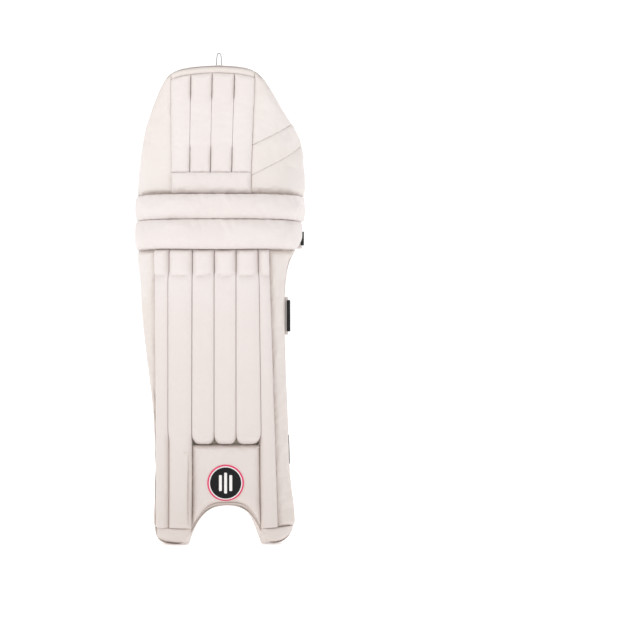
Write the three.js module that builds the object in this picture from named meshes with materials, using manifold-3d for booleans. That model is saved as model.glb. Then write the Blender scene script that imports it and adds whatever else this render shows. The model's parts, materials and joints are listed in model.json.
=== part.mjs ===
// A cricket batting leg pad, standing on its two feet, as a scene graph of separate solids.
// Millimetres, +Z up. The strike face looks along -Y and the wearer's leg goes in from +Y.
// The pad is a flat lay-up bent round a vertical section, so most pieces are drawn on the unrolled
// sheet as "arc" (distance along the section from the middle), z, and "out" (distance off the
// board, towards the ball), and are then folded into place.
import * as THREE from "three";
import { mergeVertices } from "three/addons/utils/BufferGeometryUtils.js";
import Module from "manifold-3d";

const wasm = await Module();
wasm.setup();

// ---- Driving dimensions ----
const GAP = 0.4; // clearance between neighbouring pieces
const SEAM_GAP = 1; // the same across the slanted seams, round foam cores and under the straps' ends
const FLAT = 34; // half width of the flat middle of the section
const BEND = 84; // radius of the section beside the flat
const WING = 14; // how far the wings' padding stands off the board
const WING_EDGE = 10; // the same at the wings' edges
const BOARD = 4; // thickness of the backing board
const LINING = 1.5; // thickness of the lining behind the board
const LINING_GAP = 1.2; // free space on each side of the lining
const DEPTH_SHIFT = -18.1; // moves the pad so that its box is centred on the origin
const WIDTH_SHIFT = -1.2; // the same, across

const SHIN_TOP = 438; // top of the canes, where the lowest knee roll sits
const ROLL_SPLIT = 481; // between the two knee rolls
const HAT_BOTTOM = 518; // bottom of the top hat
const HEM_TOP = 550; // top of the top hat's own roll
const PAD_TOP = 705; // highest point of the top hat's arch
const CREASE = 1.2; // free height between two sections that fold against each other

const CANE_OUT = 25; // how far the cane channels stand off the board
const CAP_BOTTOM = 397; // the seam under the short caps at the top of the canes
const PANEL_TOP = 147.5; // top of the instep panel, where the three middle canes end
const CANE_EDGES = [-94, -70, -36.5, -4.4, 27.9, 59.1, 75.7]; // seams between canes, as seen from the front
const CANE_EDGES_LOW = [-91, -70, -37.5, -4.4, 27.9, 64.2, 89]; // the same seams at the foot
const ROD_RADIUS = 4.5; // the cane rod inside each channel
const ROD_OUT = 11; // its centre's distance off the board

const ROLL_OUT = 34; // how far the knee rolls stand off the board
const ROLL_BACK = 6; // how far they reach behind it
const HAT_OUT = 21; // padding of the top hat's middle channels
const HAT_EDGES = [-66.9, -37, -5.6, 27.2, 57]; // seams of the top hat's channels, at the top
const HAT_EDGES_LOW = [-66.9, -40.3, -10, 21.3, 49.7]; // the same seams at the hem
const RIM = 12; // width of the padded rim over the channels

const STRAP = 3; // thickness of the straps

// ---- Outline of the pad as seen from the front: [height, distance from the middle] ----
const LEFT_OUTLINE = [
  [0, -95], [40, -96], [110, -93.5], [170, -96], [229, -102.5], [288, -111], [361, -118.5],
  [420, -122.5], [460, -127], [518, -125], [553, -121.5], [597, -114.5], [626, -106.5],
  [656, -93.5], [676, -84], [690, -75],
];
const RIGHT_OUTLINE = [
  [0, 114], [40, 115.5], [68, 112], [100, 108.3], [170, 105.5], [229, 103.3], [290, 101],
  [361, 100.3], [392, 102], [420, 107], [435, 115], [450, 122], [480, 127], [518, 128.2],
  [553, 128.5], [582, 126.7], [611, 119.4], [641, 99.5], [667, 84], [690, 68],
];
const TOP_ARCH = [
  [-75, 690], [-62, 697.5], [-45, 701.5], [-20, 704.2], [0, PAD_TOP], [20, 704.4], [42, 702], [57, 697.5], [68, 690],
];
const INSTEP_ARCH = [
  [-44, 1], [-37.5, 19], [-28, 36], [-18, 48.5], [-7, 55.5], [10, 58.2], [32, 57], [46, 49.5],
  [57, 33.5], [64.2, 20], [71, 1],
];

// A smooth function through a list of [input, output] pairs (Catmull-Rom on uneven steps).
function through(points) {
  const last = points.length - 1;
  const slope = (i) => {
    const [a, b] = [points[Math.max(i - 1, 0)], points[Math.min(i + 1, last)]];
    return (b[1] - a[1]) / (b[0] - a[0]);
  };
  return (at) => {
    const t = Math.min(Math.max(at, points[0][0]), points[last][0]);
    let i = 0;
    while (i < last - 1 && t > points[i + 1][0]) i += 1;
    const step = points[i + 1][0] - points[i][0];
    const s = (t - points[i][0]) / step;
    const ease = s * s * (3 - 2 * s);
    const start = slope(i) * step * s * (1 - s) * (1 - s);
    const end = slope(i + 1) * step * s * s * (s - 1);
    return points[i][1] * (1 - ease) + points[i + 1][1] * ease + start + end;
  };
}
const leftOutline = through(LEFT_OUTLINE);
const rightOutline = through(RIGHT_OUTLINE);
const topArch = through(TOP_ARCH);
const instepArch = through(INSTEP_ARCH);
const mix = (a, b, t) => a + (b - a) * t;
const clamp01 = (t) => Math.min(Math.max(t, 0), 1);

// ---- The bent section ----
// The top hat is flatter than the shin and leans forward; the foot flares forward a little.
function flatten(z) {
  return 1 - 0.16 * clamp01((z - HAT_BOTTOM) / (PAD_TOP - HAT_BOTTOM));
}
function lean(z) {
  const hat = clamp01((z - ROLL_SPLIT) / (PAD_TOP - ROLL_SPLIT));
  const foot = clamp01((100 - z) / 100);
  return -26 * hat ** 1.5 - 9 * foot ** 2;
}
// Distance along the section of a point seen from the front at x, and the other way round.
function arcOf(x) {
  const past = Math.max(0, Math.abs(x) - FLAT);
  return Math.sign(x) * (Math.min(Math.abs(x), FLAT) + BEND * Math.asin(Math.min(1, past / (BEND + WING))));
}
function xOf(arc) {
  const turn = Math.max(0, Math.abs(arc) - FLAT) / BEND;
  return Math.sign(arc) * (Math.min(Math.abs(arc), FLAT) + (BEND + WING) * Math.sin(turn));
}
function fold(arc, z, out) {
  const turn = Math.max(0, Math.abs(arc) - FLAT) / BEND;
  const side = Math.sign(arc) || 1;
  const flat = flatten(z);
  const normal = new THREE.Vector2(side * flat * Math.sin(turn), -Math.cos(turn)).normalize();
  const x = side * (Math.min(Math.abs(arc), FLAT) + BEND * Math.sin(turn));
  const y = flat * BEND * (1 - Math.cos(turn)) + lean(z);
  return new THREE.Vector3(x + out * normal.x + WIDTH_SHIFT, y + out * normal.y + DEPTH_SHIFT, z);
}

// ---- Shape helpers ----
// A box that runs from 0 to 1 across, up and out, bent by place(u, v, w).
function bentBox(across, up, deep, place) {
  const geometry = new THREE.BoxGeometry(1, 1, 1, across, up, deep);
  const at = geometry.getAttribute("position");
  for (let i = 0; i < at.count; i += 1) {
    const p = place(at.getX(i) + 0.5, at.getY(i) + 0.5, at.getZ(i) + 0.5);
    at.setXYZ(i, p.x, p.y, p.z);
  }
  return geometry;
}
// A padded patch of the sheet. left(z) and right(z) are the arcs of its sides, inset by half the gap;
// bottom(arc) and top(arc) are its heights; rows are its levels as shares of its height; and
// outer(u, v) and inner(u, v) are its two faces. The height of each point is settled by closing in on it.
function patch({ left, right, bottom, top, outer, inner, across = 6, rows = [0, 1] }) {
  const up = rows.length - 1;
  return bentBox(across, up, 1, (u, row, w) => {
    const v = rows[Math.round(row * up)];
    let z = mix(bottom(0), top(0), v);
    let arc = 0;
    for (let turn = 0; turn < 40; turn += 1) {
      arc = mix(left(z) + GAP / 2, right(z) - GAP / 2, u);
      z = mix(z, mix(bottom(arc), top(arc), v), 0.5);
    }
    return fold(arc, z, mix(inner(u, v), outer(u, v), w));
  });
}
const evenRows = (count) => Array.from({ length: count + 1 }, (_, i) => i / count);
// A crowned profile: side at the edges of the patch, crown over most of it.
const crowned = (side, crown) => (u) => mix(side, crown, Math.sqrt(Math.sin(Math.PI * clamp01(u))));
const level = (height) => () => height;
const atX = (x) => level(arcOf(x));
// An arc that changes evenly with height between two places seen from the front.
const slanted = (xLow, zLow, xHigh, zHigh) => (z) => arcOf(mix(xLow, xHigh, clamp01((z - zLow) / (zHigh - zLow))));
// A height that changes evenly across.
const rising = (xA, zA, xB, zB) => (arc) => mix(zA, zB, (arc - arcOf(xA)) / (arcOf(xB) - arcOf(xA)));
const leftEdge = (inset = 0) => (z) => arcOf(leftOutline(z)) + inset;
const rightEdge = (inset = 0) => (z) => arcOf(rightOutline(z)) - inset;

function toSolid(geometry) {
  const bare = geometry.clone();
  bare.deleteAttribute("normal");
  bare.deleteAttribute("uv");
  const merged = mergeVertices(bare, 1e-3);
  const mesh = new wasm.Mesh({
    numProp: 3,
    vertProperties: merged.getAttribute("position").array,
    triVerts: new Uint32Array(merged.index.array),
  });
  return new wasm.Manifold(mesh);
}
function fromSolid(solid) {
  const { vertProperties, triVerts } = solid.getMesh();
  const geometry = new THREE.BufferGeometry();
  geometry.setAttribute("position", new THREE.BufferAttribute(vertProperties, 3));
  geometry.setIndex(new THREE.BufferAttribute(triVerts, 1));
  return geometry;
}

// ---- Materials ----
const finish = (color, roughness, metalness = 0) => new THREE.MeshStandardMaterial({ color, roughness, metalness });
const MATERIALS = {
  facing: finish(0xf1ece8, 0.5),
  wing: finish(0xefe7e0, 0.5),
  foam: finish(0xe9e2c9, 0.9),
  cane: finish(0xc9a566, 0.7),
  lining: finish(0xe9e6e6, 0.8),
  strap: finish(0xefe9e6, 0.8),
  hook: finish(0xe4e0dd, 0.95),
  tab: finish(0x2b2a2a, 0.6),
  badge: finish(0x151515, 0.4),
  loop: finish(0x9ea0a3, 0.6),
};
const pad = new THREE.Group();
function add(name, material, geometry) {
  const mesh = new THREE.Mesh(geometry, MATERIALS[material]);
  mesh.name = name;
  pad.add(mesh);
  return mesh;
}

// ---- Shin: backing board and lining ----
const FOOT_TOP = 25; // top of the wear strips round the feet
const [CORNER_LEFT, CORNER_RIGHT] = [15, 30]; // radii of the foot's outer corners
const EDGE_INSET = 3; // how far the board and lining stay inside the padding's outline
const BOARD_LIFT = 6.5; // how far above the foot's bottom line the board ends
// The foot's bottom line: rounded corners, two flat feet at z 0 and the instep arch between them.
function footLine(arc) {
  const corner = (radius, distance) => {
    const past = clamp01(1 - distance / radius);
    return radius * (1 - Math.sqrt(1 - past * past));
  };
  const ends = Math.max(corner(CORNER_LEFT, arc - leftEdge()(0)), corner(CORNER_RIGHT, rightEdge()(0) - arc));
  const inArch = arc > arcOf(INSTEP_ARCH[0][0]) && arc < arcOf(INSTEP_ARCH.at(-1)[0]);
  return inArch ? instepArch(xOf(arc)) : ends;
}
const shinSheet = (outer, inner) => patch({
  left: leftEdge(EDGE_INSET),
  right: rightEdge(EDGE_INSET),
  bottom: (arc) => footLine(arc) + BOARD_LIFT,
  top: level(SHIN_TOP - CREASE),
  outer: level(outer),
  inner: level(inner),
  across: 22,
  rows: [0, 0.06, 0.12, 0.2, 0.32, 0.5, 0.7, 0.85, 0.94, 1],
});
add("shin_board", "foam", shinSheet(0, -BOARD));
add("shin_lining", "lining", shinSheet(-BOARD - LINING_GAP, -BOARD - LINING_GAP - LINING));
const BEHIND_LINING = -BOARD - LINING_GAP - LINING - LINING_GAP; // where the inner padding starts

// ---- Shin: stuffed cane channels, each with a cane rod in it ----
const caneEdge = (i) => slanted(CANE_EDGES_LOW[i], FOOT_TOP, CANE_EDGES[i], SHIN_TOP);
const ROD_END = 12; // stuffing between a rod's ends and its channel's
for (let i = 0; i < 6; i += 1) {
  const endsAtPanel = i >= 2 && i <= 4;
  const low = endsAtPanel ? PANEL_TOP + GAP : FOOT_TOP;
  const channel = patch({
    left: caneEdge(i),
    right: caneEdge(i + 1),
    bottom: level(low),
    top: level(SHIN_TOP - CREASE),
    outer: crowned(9, CANE_OUT),
    inner: level(GAP),
    across: 6,
    rows: endsAtPanel ? [0, 1] : [0, 0.09, 0.18, 0.35, 0.65, 1],
  });
  const middle = fold(mix(caneEdge(i)(200), caneEdge(i + 1)(200), 0.5), 200, ROD_OUT);
  const rod = (radius, from, to) => new THREE.CylinderGeometry(radius, radius, to - from, 10)
    .rotateX(Math.PI / 2)
    .translate(middle.x, middle.y, (from + to) / 2);
  const rodLow = low + ROD_END + (endsAtPanel ? 0 : FOOT_TOP);
  const bore = rod(ROD_RADIUS + GAP, low - ROD_END, CAP_BOTTOM);
  add(`cane_channel_${i + 1}`, "facing", fromSolid(toSolid(channel).subtract(toSolid(bore))));
  add(`cane_rod_${i + 1}`, "cane", rod(ROD_RADIUS, rodLow, CAP_BOTTOM - GAP));
}

// ---- Shin: side wings ----
const wingRows = [0, 0.06, 0.12, 0.2, 0.35, 0.5, 0.65, 0.8, 0.88, 0.94, 1];
const wingBottom = (arc) => Math.max(FOOT_TOP, footLine(arc));
add("wing_left", "wing", patch({
  left: leftEdge(),
  right: caneEdge(0),
  bottom: wingBottom,
  top: level(SHIN_TOP - CREASE),
  outer: crowned(WING_EDGE, WING),
  inner: level(GAP),
  across: 4,
  rows: wingRows,
}));
add("wing_right", "wing", patch({
  left: caneEdge(6),
  right: rightEdge(),
  bottom: wingBottom,
  top: level(SHIN_TOP - CREASE),
  outer: crowned(WING_EDGE, WING),
  inner: level(GAP),
  across: 4,
  rows: wingRows,
}));

// ---- Foot: instep panel, its binding and badge, and the two wear strips ----
const PANEL_OUT = 17;
const BINDING = 4; // width of the binding round the arch
const DISC_RINGS = 2;
// A badge that lies along the sheet: a disc turned about its own axis, then folded with it.
function badge(x, z, radius, out, thickness) {
  const rings = Array.from({ length: DISC_RINGS + 1 }, (_, i) => (radius * i) / DISC_RINGS);
  const profile = [
    ...rings.map((r) => new THREE.Vector2(r, 0)),
    ...rings.reverse().map((r) => new THREE.Vector2(r, thickness)),
  ];
  const geometry = new THREE.LatheGeometry(profile, 20);
  const at = geometry.getAttribute("position");
  for (let i = 0; i < at.count; i += 1) {
    const p = fold(arcOf(x) + at.getX(i), z - at.getZ(i), out + at.getY(i));
    at.setXYZ(i, p.x, p.y, p.z);
  }
  return geometry;
}
const footRows = [0, 0.15, 0.35, 0.6, 1];
add("instep_panel", "facing", patch({
  left: caneEdge(2),
  right: caneEdge(5),
  bottom: (arc) => instepArch(xOf(arc)) + BINDING + GAP,
  top: level(PANEL_TOP),
  outer: crowned(9, PANEL_OUT),
  inner: level(GAP),
  across: 10,
  rows: footRows,
}));
add("instep_binding", "facing", patch({
  left: caneEdge(2),
  right: caneEdge(5),
  bottom: (arc) => instepArch(xOf(arc)),
  top: (arc) => instepArch(xOf(arc)) + BINDING,
  outer: level(12),
  inner: level(GAP),
  across: 10,
}));
add("instep_badge", "badge", badge(12, 92, 27, PANEL_OUT + 1, 1.4));
// The strips wrap under the board; only their lowest row reaches behind its front face.
const STRIP_BACK = -9;
const STRIP_ROWS = [0, 0.2, 0.22, 0.6, 1];
const footStrip = (left, right) => patch({
  left,
  right,
  bottom: (arc) => Math.min(footLine(arc), FOOT_TOP - 1),
  top: level(FOOT_TOP - GAP),
  outer: crowned(8, 20),
  inner: (u, v) => (v > 0.21 ? GAP : STRIP_BACK),
  across: 10,
  rows: STRIP_ROWS,
});
add("foot_strip_left", "wing", footStrip(leftEdge(), level(caneEdge(2)(FOOT_TOP))));
add("foot_strip_right", "wing", footStrip(level(caneEdge(5)(FOOT_TOP)), rightEdge()));

// ---- Inner padding: three long bolsters and the quilted foot ----
const BOLSTER = 16; // thickness of the long bolsters
const FOOT_PAD = 8; // thickness of the foot's inner padding
const [BOLSTER_LOW, BOLSTER_HIGH] = [152, 424];
const innerPad = (xLeft, xRight, bottom, high, thick, rows) => patch({
  left: atX(xLeft),
  right: atX(xRight),
  bottom,
  top: level(high),
  outer: level(BEHIND_LINING),
  inner: (u) => BEHIND_LINING - crowned(5, thick)(u),
  across: 8,
  rows,
});
add("bolster_left", "lining", innerPad(-89.7, -25.5, level(BOLSTER_LOW), BOLSTER_HIGH, BOLSTER, [0, 1]));
add("bolster_centre", "lining", innerPad(-24.5, 35, level(BOLSTER_LOW), BOLSTER_HIGH, BOLSTER, [0, 1]));
add("bolster_right", "lining", innerPad(36, 93, level(BOLSTER_LOW), BOLSTER_HIGH, BOLSTER, [0, 1]));
const FOOT_PAD_LIFT = 16; // how far above the foot's bottom line the quilting ends
const footPad = (xLeft, xRight) => innerPad(
  xLeft,
  xRight,
  (arc) => footLine(arc) + FOOT_PAD_LIFT,
  BOLSTER_LOW - 2,
  FOOT_PAD,
  footRows,
);
add("foot_pad_left", "lining", footPad(-85, -34));
add("instep_pad", "lining", footPad(-33.5, 56));
add("foot_pad_right", "lining", footPad(56.5, 98));

// ---- Knee rolls: a stuffed cover open at both ends round a foam core ----
const ROLL_SHELL = 5; // thickness of the cover with its wadding
const ROLL_TAPER = 54; // length over which a roll thins out towards the pad's edge
function kneeRoll(name, low, high) {
  const middle = (low + high) / 2;
  const [start, end] = [leftEdge()(middle), rightEdge()(middle)];
  const place = (inset, endInset) => (u, v, w) => {
    const arc = mix(start + endInset, end - endInset, u);
    const fromEnd = clamp01(Math.min(arc - start, end - arc) / ROLL_TAPER);
    const crown = mix(WING + 1, ROLL_OUT, fromEnd * fromEnd * (3 - 2 * fromEnd));
    const bulge = Math.sqrt(Math.sin(Math.PI * mix(0.14, 0.86, v)));
    return fold(arc, mix(low + inset, high - inset, v), mix(-ROLL_BACK * bulge + inset, crown * bulge - inset, w));
  };
  const cover = toSolid(bentBox(16, 5, 1, place(CREASE / 2, 0)));
  const seat = toSolid(bentBox(16, 3, 1, place(ROLL_SHELL, -2)));
  add(name, "facing", fromSolid(cover.subtract(seat)));
  add(`${name}_core`, "foam", bentBox(16, 3, 1, place(ROLL_SHELL + 1.5 * SEAM_GAP, 4)));
}
kneeRoll("knee_roll_lower", SHIN_TOP, ROLL_SPLIT);
kneeRoll("knee_roll_upper", ROLL_SPLIT, HAT_BOTTOM);

// ---- Knee cup: two padded halves behind the rolls, parted by a dart with a ribbed gusset in it ----
const [CUP_LOW, CUP_HIGH] = [431, 560];
const CUP_OUT = -12; // where the cup's front face lies, clear of the hat's lining as the knee bends
const CUP = 10; // thickness of its padding
const CUP_SIDE = 108;
const [GUSSET_LOW, GUSSET_HIGH] = [497, CUP_HIGH];
const GUSSET_HALF = 15; // half the gusset's width at the top of the dart
const DART = 1.5; // the dart's bottom lies here, a little off the middle
const dartEdge = (side) => (z) => {
  const open = clamp01((z - GUSSET_LOW) / (GUSSET_HIGH - GUSSET_LOW));
  return DART + side * GUSSET_HALF * open;
};
const cupHalf = (left, right) => patch({
  left,
  right,
  bottom: level(CUP_LOW),
  top: (arc) => CUP_HIGH - 4 * clamp01(Math.abs(arc) / 100),
  outer: level(CUP_OUT),
  inner: (u) => CUP_OUT - crowned(4, CUP)(u),
  across: 8,
  rows: [0, 0.25, (GUSSET_LOW - CUP_LOW) / (CUP_HIGH - CUP_LOW), 0.75, 1],
});
add("knee_cup_left", "lining", cupHalf(atX(-CUP_SIDE), dartEdge(-1)));
add("knee_cup_right", "lining", cupHalf(dartEdge(1), atX(CUP_SIDE)));
add("knee_gusset", "hook", patch({
  left: (z) => dartEdge(-1)(z) + GAP,
  right: (z) => dartEdge(1)(z) - GAP,
  bottom: level(GUSSET_LOW + 12),
  top: level(GUSSET_HIGH - 9),
  outer: level(CUP_OUT - 1),
  inner: level(CUP_OUT - 4),
  across: 2,
}));

// ---- Top hat: board and lining, then the padded facing ----
const HAT_BASE = HAT_BOTTOM + CREASE / 2;
const hatSheet = (outer, inner) => patch({
  left: leftEdge(EDGE_INSET),
  right: rightEdge(EDGE_INSET),
  bottom: level(HAT_BASE),
  top: (arc) => topArch(xOf(arc)) - EDGE_INSET,
  outer: level(outer),
  inner: level(inner),
  across: 22,
  rows: [0, 0.2, 0.38, 0.5, 0.6, 0.75, 1],
});
add("top_board", "foam", hatSheet(0, -BOARD));
add("top_lining", "lining", hatSheet(-BOARD - LINING_GAP, -BOARD - LINING_GAP - LINING));
const hatEdge = (i) => slanted(HAT_EDGES_LOW[i], HEM_TOP, HAT_EDGES[i], PAD_TOP);
const panelTop = (arc) => topArch(xOf(arc));
const underRim = (arc) => panelTop(arc) - RIM;
for (let i = 0; i < 4; i += 1) {
  add(`top_channel_${i + 1}`, "facing", patch({
    left: hatEdge(i),
    right: hatEdge(i + 1),
    bottom: level(HEM_TOP + GAP),
    top: underRim,
    outer: crowned(10, HAT_OUT),
    inner: level(GAP),
    across: 6,
    rows: evenRows(3),
  }));
}
add("top_hem", "facing", patch({
  left: hatEdge(0),
  right: hatEdge(4),
  bottom: level(HAT_BASE),
  top: level(HEM_TOP),
  outer: (u, v) => (HAT_OUT + 3) * Math.sqrt(Math.sin(Math.PI * mix(0.15, 0.85, v))),
  inner: level(GAP),
  across: 10,
  rows: evenRows(4),
}));
add("top_rim", "facing", patch({
  left: hatEdge(0),
  right: hatEdge(4),
  bottom: (arc) => underRim(arc) + SEAM_GAP,
  top: panelTop,
  outer: level(12),
  inner: level(GAP),
  across: 12,
}));
add("top_panel_left", "wing", patch({
  left: leftEdge(),
  right: hatEdge(0),
  bottom: level(HAT_BASE),
  top: panelTop,
  outer: crowned(WING_EDGE, WING),
  inner: level(GAP),
  across: 7,
  rows: evenRows(8),
}));
// Two seams slope up across the right wing and part it into three panels.
const SEAM_LOW = rising(51, 546, 127, 600);
const SEAM_HIGH = rising(53, 590, 117, 630);
const rightPanel = (bottom, top, count) => patch({
  left: hatEdge(4),
  right: rightEdge(),
  bottom,
  top,
  outer: crowned(WING_EDGE, WING),
  inner: level(GAP),
  across: 8,
  rows: evenRows(count),
});
add("top_panel_right_lower", "wing", rightPanel(level(HAT_BASE), (arc) => SEAM_LOW(arc) - SEAM_GAP, 4));
add("top_panel_right_middle", "wing", rightPanel(SEAM_LOW, (arc) => SEAM_HIGH(arc) - SEAM_GAP, 3));
add("top_panel_right_upper", "wing", rightPanel(SEAM_HIGH, panelTop, 5));
add("top_badge", "badge", badge(27, 614, 46, -BOARD - 2 * LINING_GAP - LINING - 1.6, 1.4));

// ---- Hanging loop: a short folded tape that stands on the top hat's rim ----
const LOOP_X = 3.5;
const LOOP_RISE = 17.5;
const LOOP_ROOT = 1; // clearance over the rim, so that the loop can fold
const LOOP_PINCH = 0.35; // depth of the tape where it is sewn in, as a share of its full depth
const LOOP_SPREAD = 3; // height over which it opens to its full depth
const loopFoot = fold(arcOf(LOOP_X), PAD_TOP, WING / 2);
const LOOP_SIDE = [[3.8, 0], [3.6, 0.5], [2, 0.95]]; // half its width at shares of its rise
const loopLine = [...LOOP_SIDE.map(([x, rise]) => [-x, rise]), ...LOOP_SIDE.toReversed()];
const loopPath = new THREE.CatmullRomCurve3(loopLine.map(([x, rise]) => new THREE.Vector3(
  loopFoot.x + x,
  loopFoot.y,
  PAD_TOP + LOOP_ROOT + rise * LOOP_RISE,
)));
const loopSection = new THREE.Shape();
loopSection.absellipse(0, 0, 2.6, 0.8, 0, Math.PI * 2);
const loopTape = new THREE.ExtrudeGeometry(loopSection, {
  steps: 10,
  curveSegments: 4,
  extrudePath: loopPath,
  bevelEnabled: false,
});
const tapePoints = loopTape.attributes.position;
for (let i = 0; i < tapePoints.count; i += 1) {
  const opened = THREE.MathUtils.smoothstep(tapePoints.getZ(i) - PAD_TOP - LOOP_ROOT, 0, LOOP_SPREAD);
  const depth = tapePoints.getY(i) - loopFoot.y;
  tapePoints.setY(i, loopFoot.y + depth * mix(LOOP_PINCH, 1, opened));
}
add("hang_loop", "loop", loopTape);

// ---- Straps ----
// Each strap starts beside an anchor on the left rim, bows behind the leg, and its tail lies on a
// patch of loop pile on the end of the right rim.
const RIM_INNER = -16; // where a strap leaves the rim, as a distance off the board
const PATCH = 1.6; // thickness of the anchors and of the loop pile
const RIM_OUTER = WING_EDGE; // how far they reach over the rim
const TAB = 2; // thickness of the pull tabs
const TAB_MARGIN = 6; // width of strap left free above and below its tab
const BOW_REACH = 0.36; // how far the strap keeps the rims' directions, as a share of its span
// A point off the end of the left (-1) or right (1) rim, where the rim ends as it does at height seat.
function rimPoint(side, z, out, beyond, seat = z) {
  const edge = side < 0 ? leftEdge()(seat) : rightEdge()(seat);
  return fold(edge + side * beyond, z, out);
}
function strapRoute(z, tail, seat) {
  const away = SEAM_GAP + PATCH + SEAM_GAP + STRAP / 2;
  const end = (side) => rimPoint(side, z, RIM_INNER, away, seat);
  const inward = (side) => rimPoint(side, z, 2 * RIM_INNER, away, seat).sub(end(side)).normalize();
  const reach = BOW_REACH * end(-1).distanceTo(end(1));
  const bow = new THREE.CubicBezierCurve3(
    end(-1),
    end(-1).addScaledVector(inward(-1), reach),
    end(1).addScaledVector(inward(1), reach),
    end(1),
  );
  return [...bow.getPoints(14), rimPoint(1, z, tail, away, seat)];
}
// A band between two routes, one along its lower edge and one along its upper edge. It lies from
// near to far behind them, and starts at the share from of their length.
function band(lower, upper, near, far, from = 0) {
  const steps = lower.length - 1;
  const across = (route, i) => {
    const before = route[Math.max(i - 1, 0)];
    const after = route[Math.min(i + 1, steps)];
    return new THREE.Vector3(-(after.y - before.y), after.x - before.x, 0).normalize();
  };
  const offset = (route, place, distance) => {
    const i = Math.min(Math.floor(place), steps - 1);
    const back = across(route, i).lerp(across(route, i + 1), place - i).normalize();
    return route[i].clone().lerp(route[i + 1], place - i).addScaledVector(back, distance);
  };
  return bentBox(Math.max(1, Math.round(steps * (1 - from))), 2, 1, (u, v, w) => {
    const place = mix(from, 1, u) * steps;
    const distance = mix(far, near, w);
    return offset(lower, place, distance).lerp(offset(upper, place, distance), v);
  });
}
// A thin piece on a rim's end face.
const rimPatch = (side, zLow, zHigh, seat) => bentBox(1, 2, 1, (u, v, w) => {
  const beyond = SEAM_GAP + PATCH * (side > 0 ? u : 1 - u);
  const z = mix(zLow, zHigh, v);
  return rimPoint(side, z, mix(RIM_INNER, RIM_OUTER, w), beyond, seat ?? z);
});
// left and right are the strap's [lowest, highest] heights at its two ends. A strap whose rim ends
// square, as the knee rolls do, gives the height of that end as its seat.
function strap(name, left, right, tail, tabWidth, seat) {
  const tilt = (end) => {
    const route = strapRoute(right[end], tail, seat);
    return route.map((point, i) => point.setZ(mix(left[end], right[end], i / (route.length - 1))));
  };
  const [lower, upper] = [tilt(0), tilt(1)];
  const inset = (route, rise) => route.map((point) => point.clone().setZ(point.z + rise));
  const last = lower.length - 1;
  const tailLength = lower[last].distanceTo(lower[last - 1]);
  add(`${name}_anchor`, "strap", rimPatch(-1, left[0] + 2, left[1] - 2, seat));
  add(`${name}_pile`, "hook", rimPatch(1, right[0] + 2, right[1] - 2, seat));
  add(name, "strap", band(lower, upper, -STRAP / 2, STRAP / 2));
  add(`${name}_tab`, "tab", band(
    inset(lower, TAB_MARGIN),
    inset(upper, -TAB_MARGIN),
    STRAP / 2 + GAP,
    STRAP / 2 + GAP + TAB,
    1 - Math.min(1, tabWidth / tailLength) / last,
  ));
}
strap("knee_strap", [440, 471], [440, 471], 16, 16, (SHIN_TOP + ROLL_SPLIT) / 2);
strap("calf_strap", [310, 367], [310, 367], 18, 15);
strap("ankle_strap", [101, 168], [111, 165], 4, 16);

export default pad;
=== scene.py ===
import json
import math

import bpy
import numpy as np
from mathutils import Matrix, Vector
from mathutils.bvhtree import BVHTree
from mathutils.geometry import delaunay_2d_cdt


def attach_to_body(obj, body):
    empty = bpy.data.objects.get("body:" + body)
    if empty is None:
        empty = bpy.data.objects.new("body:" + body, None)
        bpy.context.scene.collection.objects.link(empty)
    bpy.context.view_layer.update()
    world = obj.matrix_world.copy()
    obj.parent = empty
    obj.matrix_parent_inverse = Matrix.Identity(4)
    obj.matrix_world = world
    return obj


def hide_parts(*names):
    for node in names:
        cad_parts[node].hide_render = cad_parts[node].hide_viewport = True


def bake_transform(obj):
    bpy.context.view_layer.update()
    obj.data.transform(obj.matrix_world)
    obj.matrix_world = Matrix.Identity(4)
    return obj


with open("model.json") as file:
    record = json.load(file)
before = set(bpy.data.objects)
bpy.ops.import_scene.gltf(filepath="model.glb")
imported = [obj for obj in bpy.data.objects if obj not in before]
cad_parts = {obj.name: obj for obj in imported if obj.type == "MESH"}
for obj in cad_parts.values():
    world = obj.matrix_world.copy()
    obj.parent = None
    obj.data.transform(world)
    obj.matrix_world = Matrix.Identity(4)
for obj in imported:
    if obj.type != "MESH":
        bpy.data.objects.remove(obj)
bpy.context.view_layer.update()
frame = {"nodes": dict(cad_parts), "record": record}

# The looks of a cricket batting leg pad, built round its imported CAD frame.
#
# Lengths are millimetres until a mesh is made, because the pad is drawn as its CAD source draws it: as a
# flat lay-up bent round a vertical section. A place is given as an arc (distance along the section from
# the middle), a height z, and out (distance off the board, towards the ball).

MM = 0.001

# ---- The bent section, as in the CAD source ----
FLAT, BEND, WING = 34, 84, 14
WIDTH_SHIFT, DEPTH_SHIFT = -1.2, -18.1
HAT_FLATTER, HAT_LEAN = 0.16, 26
FOOT_LEAN, FOOT_BEND = 9, 100
SHIN_TOP, ROLL_SPLIT, HAT_BOTTOM, HEM_TOP, PAD_TOP = 438, 481, 518, 550, 705
CAP_BOTTOM, PANEL_TOP, FOOT_TOP = 397, 147.5, 25
CANE_EDGES = [-94, -70, -36.5, -4.4, 27.9, 59.1, 75.7]
CANE_EDGES_LOW = [-91, -70, -37.5, -4.4, 27.9, 64.2, 89]
HAT_EDGES = [-66.9, -37, -5.6, 27.2, 57]
HAT_EDGES_LOW = [-66.9, -40.3, -10, 21.3, 49.7]
LEFT_OUTLINE = [
    (0, -95), (40, -96), (110, -93.5), (170, -96), (229, -102.5), (288, -111), (361, -118.5),
    (420, -122.5), (460, -127), (518, -125), (553, -121.5), (597, -114.5), (626, -106.5),
    (656, -93.5), (676, -84), (690, -75),
]
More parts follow.
